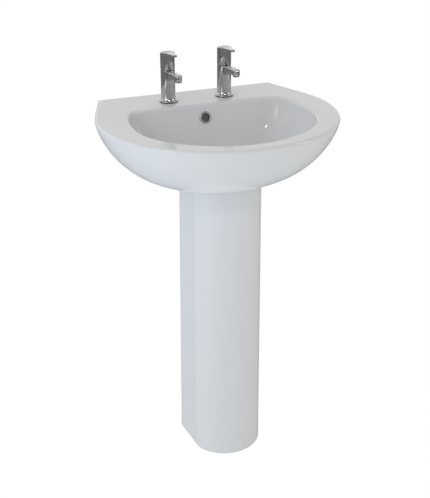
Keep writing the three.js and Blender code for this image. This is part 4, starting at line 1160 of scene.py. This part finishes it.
def make_tap_fittings(name, centre):
    radius, low = TAP_TAIL_RADIUS, TAP_TAIL_END
    thread = thread_steps(radius, low + 0.6, 0, THREAD_PITCH)
    profile = [(6, low), (9.6, low), *thread, (radius, 12), (6, 12)]
    cut = threaded(radius, THREAD_PITCH, 0.9, low, 0)
    made = turned("tail", profile, centre, 48, 0, cut)
    piece(made, f"{name}_threaded_tail", "brass", f"{name}_tap_tail")
    gasket = turned("gasket", [(16, 0.3), (21, 0.3), (21, 1.5), (16, 1.5)], centre, 72, 0.3)
    piece(gasket, f"{name}_deck_gasket", "rubber", f"{name}_base_gasket")
    washer = [(10.6, -18.8), (21, -18.8), (21, -16.3), (14.7, -16.3), (14.7, -5), (10.6, -5)]
    made = turned("washer", washer, centre, 72, 0.5)
    piece(made, f"{name}_tophat", "nylon", f"{name}_top_hat_washer")
    nut = [
        (10.6, -31), (15.6, -31), (16.4, -30.4), (17, -29.8), (17.4, -29), (17.4, -21.6),
        (17.4, -21.3), (18.4, -21.1), (19, -20.8), (19, -19.6), (18.6, -19.2), (10.6, -19.2),
    ]
    made = turned("nut", nut, centre, 96, 0, hexagon)
    piece(made, f"{name}_hex_backnut", "brass", f"{name}_back_nut")
    end = NOZZLE_BOTTOM
    housing = [
        (5, end - 2.6), (7.2, end - 2.6), (7.8, end - 2.0), (7.8, end - 0.3), (6.5, end - 0.3),
        (6.5, end + 7), (5, end + 7),
    ]
    place = (centre[0], centre[1] + NOZZLE_Y, centre[2])
    made = turned("housing", housing, place, 64, 0.3)
    piece(made, f"{name}_aerator", "chrome", f"{name}_aerator_housing")


# ---- carried-over nodes

KEPT = {
    "brass": ["click_cartridge", "plug_stem"],
    "rubber": ["trap_inlet_seal", "trap_cup_seal", "trap_outlet_seal"],
    "disc_ceramic": [],
    "white_plastic": [],
    "steel": [],
}
for prefix in ("hot", "cold"):
    KEPT["brass"] += [f"{prefix}_valve_body", f"{prefix}_spindle"]
    KEPT["disc_ceramic"] += [f"{prefix}_fixed_disc", f"{prefix}_moving_disc"]
    KEPT["white_plastic"].append(f"{prefix}_flow_insert")
    KEPT["steel"].append(f"{prefix}_lever_screw")


def finish_kept_nodes():
    """Gives each CAD node that has no piece of its own the finish it is listed under."""
    for finish, names in KEPT.items():
        for name in names:
            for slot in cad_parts[name].material_slots:
                slot.material = SLOTS[finish]


# ---- studio


DRIFT = 1.03


def plain_material(name, left, right, glow=0.0):
    """Matt backdrop finish whose colour drifts from one side of the studio to the other."""
    nodes = Nodes(name)
    across = axis_mask(nodes, "X", -1.2, 1.2)
    drift = nodes.noise(scale=1.3, detail=3)
    one, other = (
        nodes.ramp(drift, (0.3, side), (0.7, [c * DRIFT for c in side])) for side in (left, right)
    )
    tone = nodes.mixed(across, one, other)
    nodes.link(tone, nodes.shader.inputs["Base Color"])
    nodes.shader.inputs["Roughness"].default_value = 0.9
    nodes.shader.inputs["Specular IOR Level"].default_value = 0
    nodes.shader.inputs["Emission Color"].default_value = (1, 1, 1, 1)
    nodes.shader.inputs["Emission Strength"].default_value = glow
    return nodes.material


FLOOR_SPAN = 30000
FLOORS = (  # name, height, the rays that see it, colour at the left and at the right, glow
    ("floor", 0, "camera", (0.10, 0.10, 0.10), (0.10, 0.10, 0.10), 0.95),
    ("bounce", -1, "diffuse", (0.72, 0.86, 1.0), (0.88, 0.85, 0.76), 0.29),
    ("mirrored", -0.5, "glossy", (0.43, 0.435, 0.45), (0.43, 0.43, 0.42), 0),
)


def add_floors():
    """A white floor for the camera, one that light bounces off and one that gloss mirrors."""
    span = FLOOR_SPAN
    for name, height, seen_by, left, right, glow in FLOORS:
        plan = ((-span, -span), (span, -span), (span, span), (-span, span))
        floor = mesh_object(name, [(x, y, height) for x, y in plan], [(0, 1, 2, 3)])
        floor.data.materials.append(plain_material(name, left, right, glow))
        floor.visible_camera = seen_by == "camera"
        floor.visible_diffuse = seen_by == "diffuse"
        floor.visible_glossy = seen_by == "glossy"
        floor.visible_shadow = False


def add_panel(name, place, target, size, radiance, colour=(1, 1, 1)):
    """A softbox: an area light of (width, height) metres that faces a target, by its brightness."""
    light = bpy.data.lights.new(name, "AREA")
    light.shape = "RECTANGLE"
    light.size, light.size_y = size
    light.energy = radiance * size[0] * size[1] * math.pi
    light.color = colour
    panel = bpy.data.objects.new(name, light)
    bpy.context.collection.objects.link(panel)
    panel.location = place
    panel.rotation_euler = (Vector(target) - Vector(place)).to_track_quat("-Z", "Y").to_euler()


SKY = {
    "Z": ((0.45, (1.0, 1.0, 1.0)), (0.95, (0.64, 0.64, 0.64))),
    "X": ((0.1, (0.99, 1.01, 1.05)), (0.9, (0.885, 0.86, 0.83))),
    "Y": ((0.1, (0.43, 0.43, 0.43)), (0.9, (1.16, 1.16, 1.16))),
}


def add_world():
    """Soft sky whose brightness follows height, side and front to back."""
    world = bpy.data.worlds.new("studio")
    bpy.context.scene.world = world
    world.use_nodes = True
    tree = world.node_tree
    coord = tree.nodes.new("ShaderNodeTexCoord")
    split = tree.nodes.new("ShaderNodeSeparateXYZ")
    tree.links.new(coord.outputs["Generated"], split.inputs["Vector"])
    colour = None
    for axis, stops in SKY.items():
        spread = tree.nodes.new("ShaderNodeMapRange")
        spread.inputs["From Min"].default_value = -1
        spread.inputs["From Max"].default_value = 1
        tree.links.new(split.outputs[axis], spread.inputs["Value"])
        ramp = tree.nodes.new("ShaderNodeValToRGB")
        elements = ramp.color_ramp.elements
        while len(elements) < len(stops):
            elements.new(0.5)
        for element, (place, tint) in zip(elements, stops):
            element.position = place
            element.color = (*tint, 1)
        tree.links.new(spread.outputs["Result"], ramp.inputs["Fac"])
        if colour is None:
            colour = ramp.outputs["Color"]
            continue
        product = tree.nodes.new("ShaderNodeMix")
        product.data_type = "RGBA"
        product.blend_type = "MULTIPLY"
        product.inputs["Factor"].default_value = 1
        tree.links.new(colour, product.inputs["A"])
        tree.links.new(ramp.outputs["Color"], product.inputs["B"])
        colour = product.outputs["Result"]
    background = tree.nodes["Background"]
    tree.links.new(colour, background.inputs["Color"])
    background.inputs["Strength"].default_value = 1


make_basin()
make_overflow_ring()
make_pedestal()
make_collars()
make_waste()
make_trap()
for prefix, side in zip(("hot", "cold"), SIDES):
    place = (side * TAP_X, TAP_Y, RIM_HEIGHT)
    make_tap_body(prefix, place)
    make_lever(prefix, place)
    make_tap_fittings(prefix, place)
finish_kept_nodes()
add_floors()
add_world()
add_panel("key", (-2.4, -2.4, 1.7), (0, 0, 0.7), (1.8, 1.5), 1.0, (0.96, 0.985, 1))
add_panel("strip_left", (-2.0, -0.9, 1.75), (0, 0.1, 0.85), (0.4, 1.5), 3.8, (0.97, 0.98, 1))
add_panel("strip_right", (1.7, -1.0, 1.6), (0, 0.1, 0.85), (0.35, 1.4), 2.9)
add_panel("spark", (-0.55, -2.2, 3.0), (0, 0.1, 0.85), (0.16, 0.16), 85)
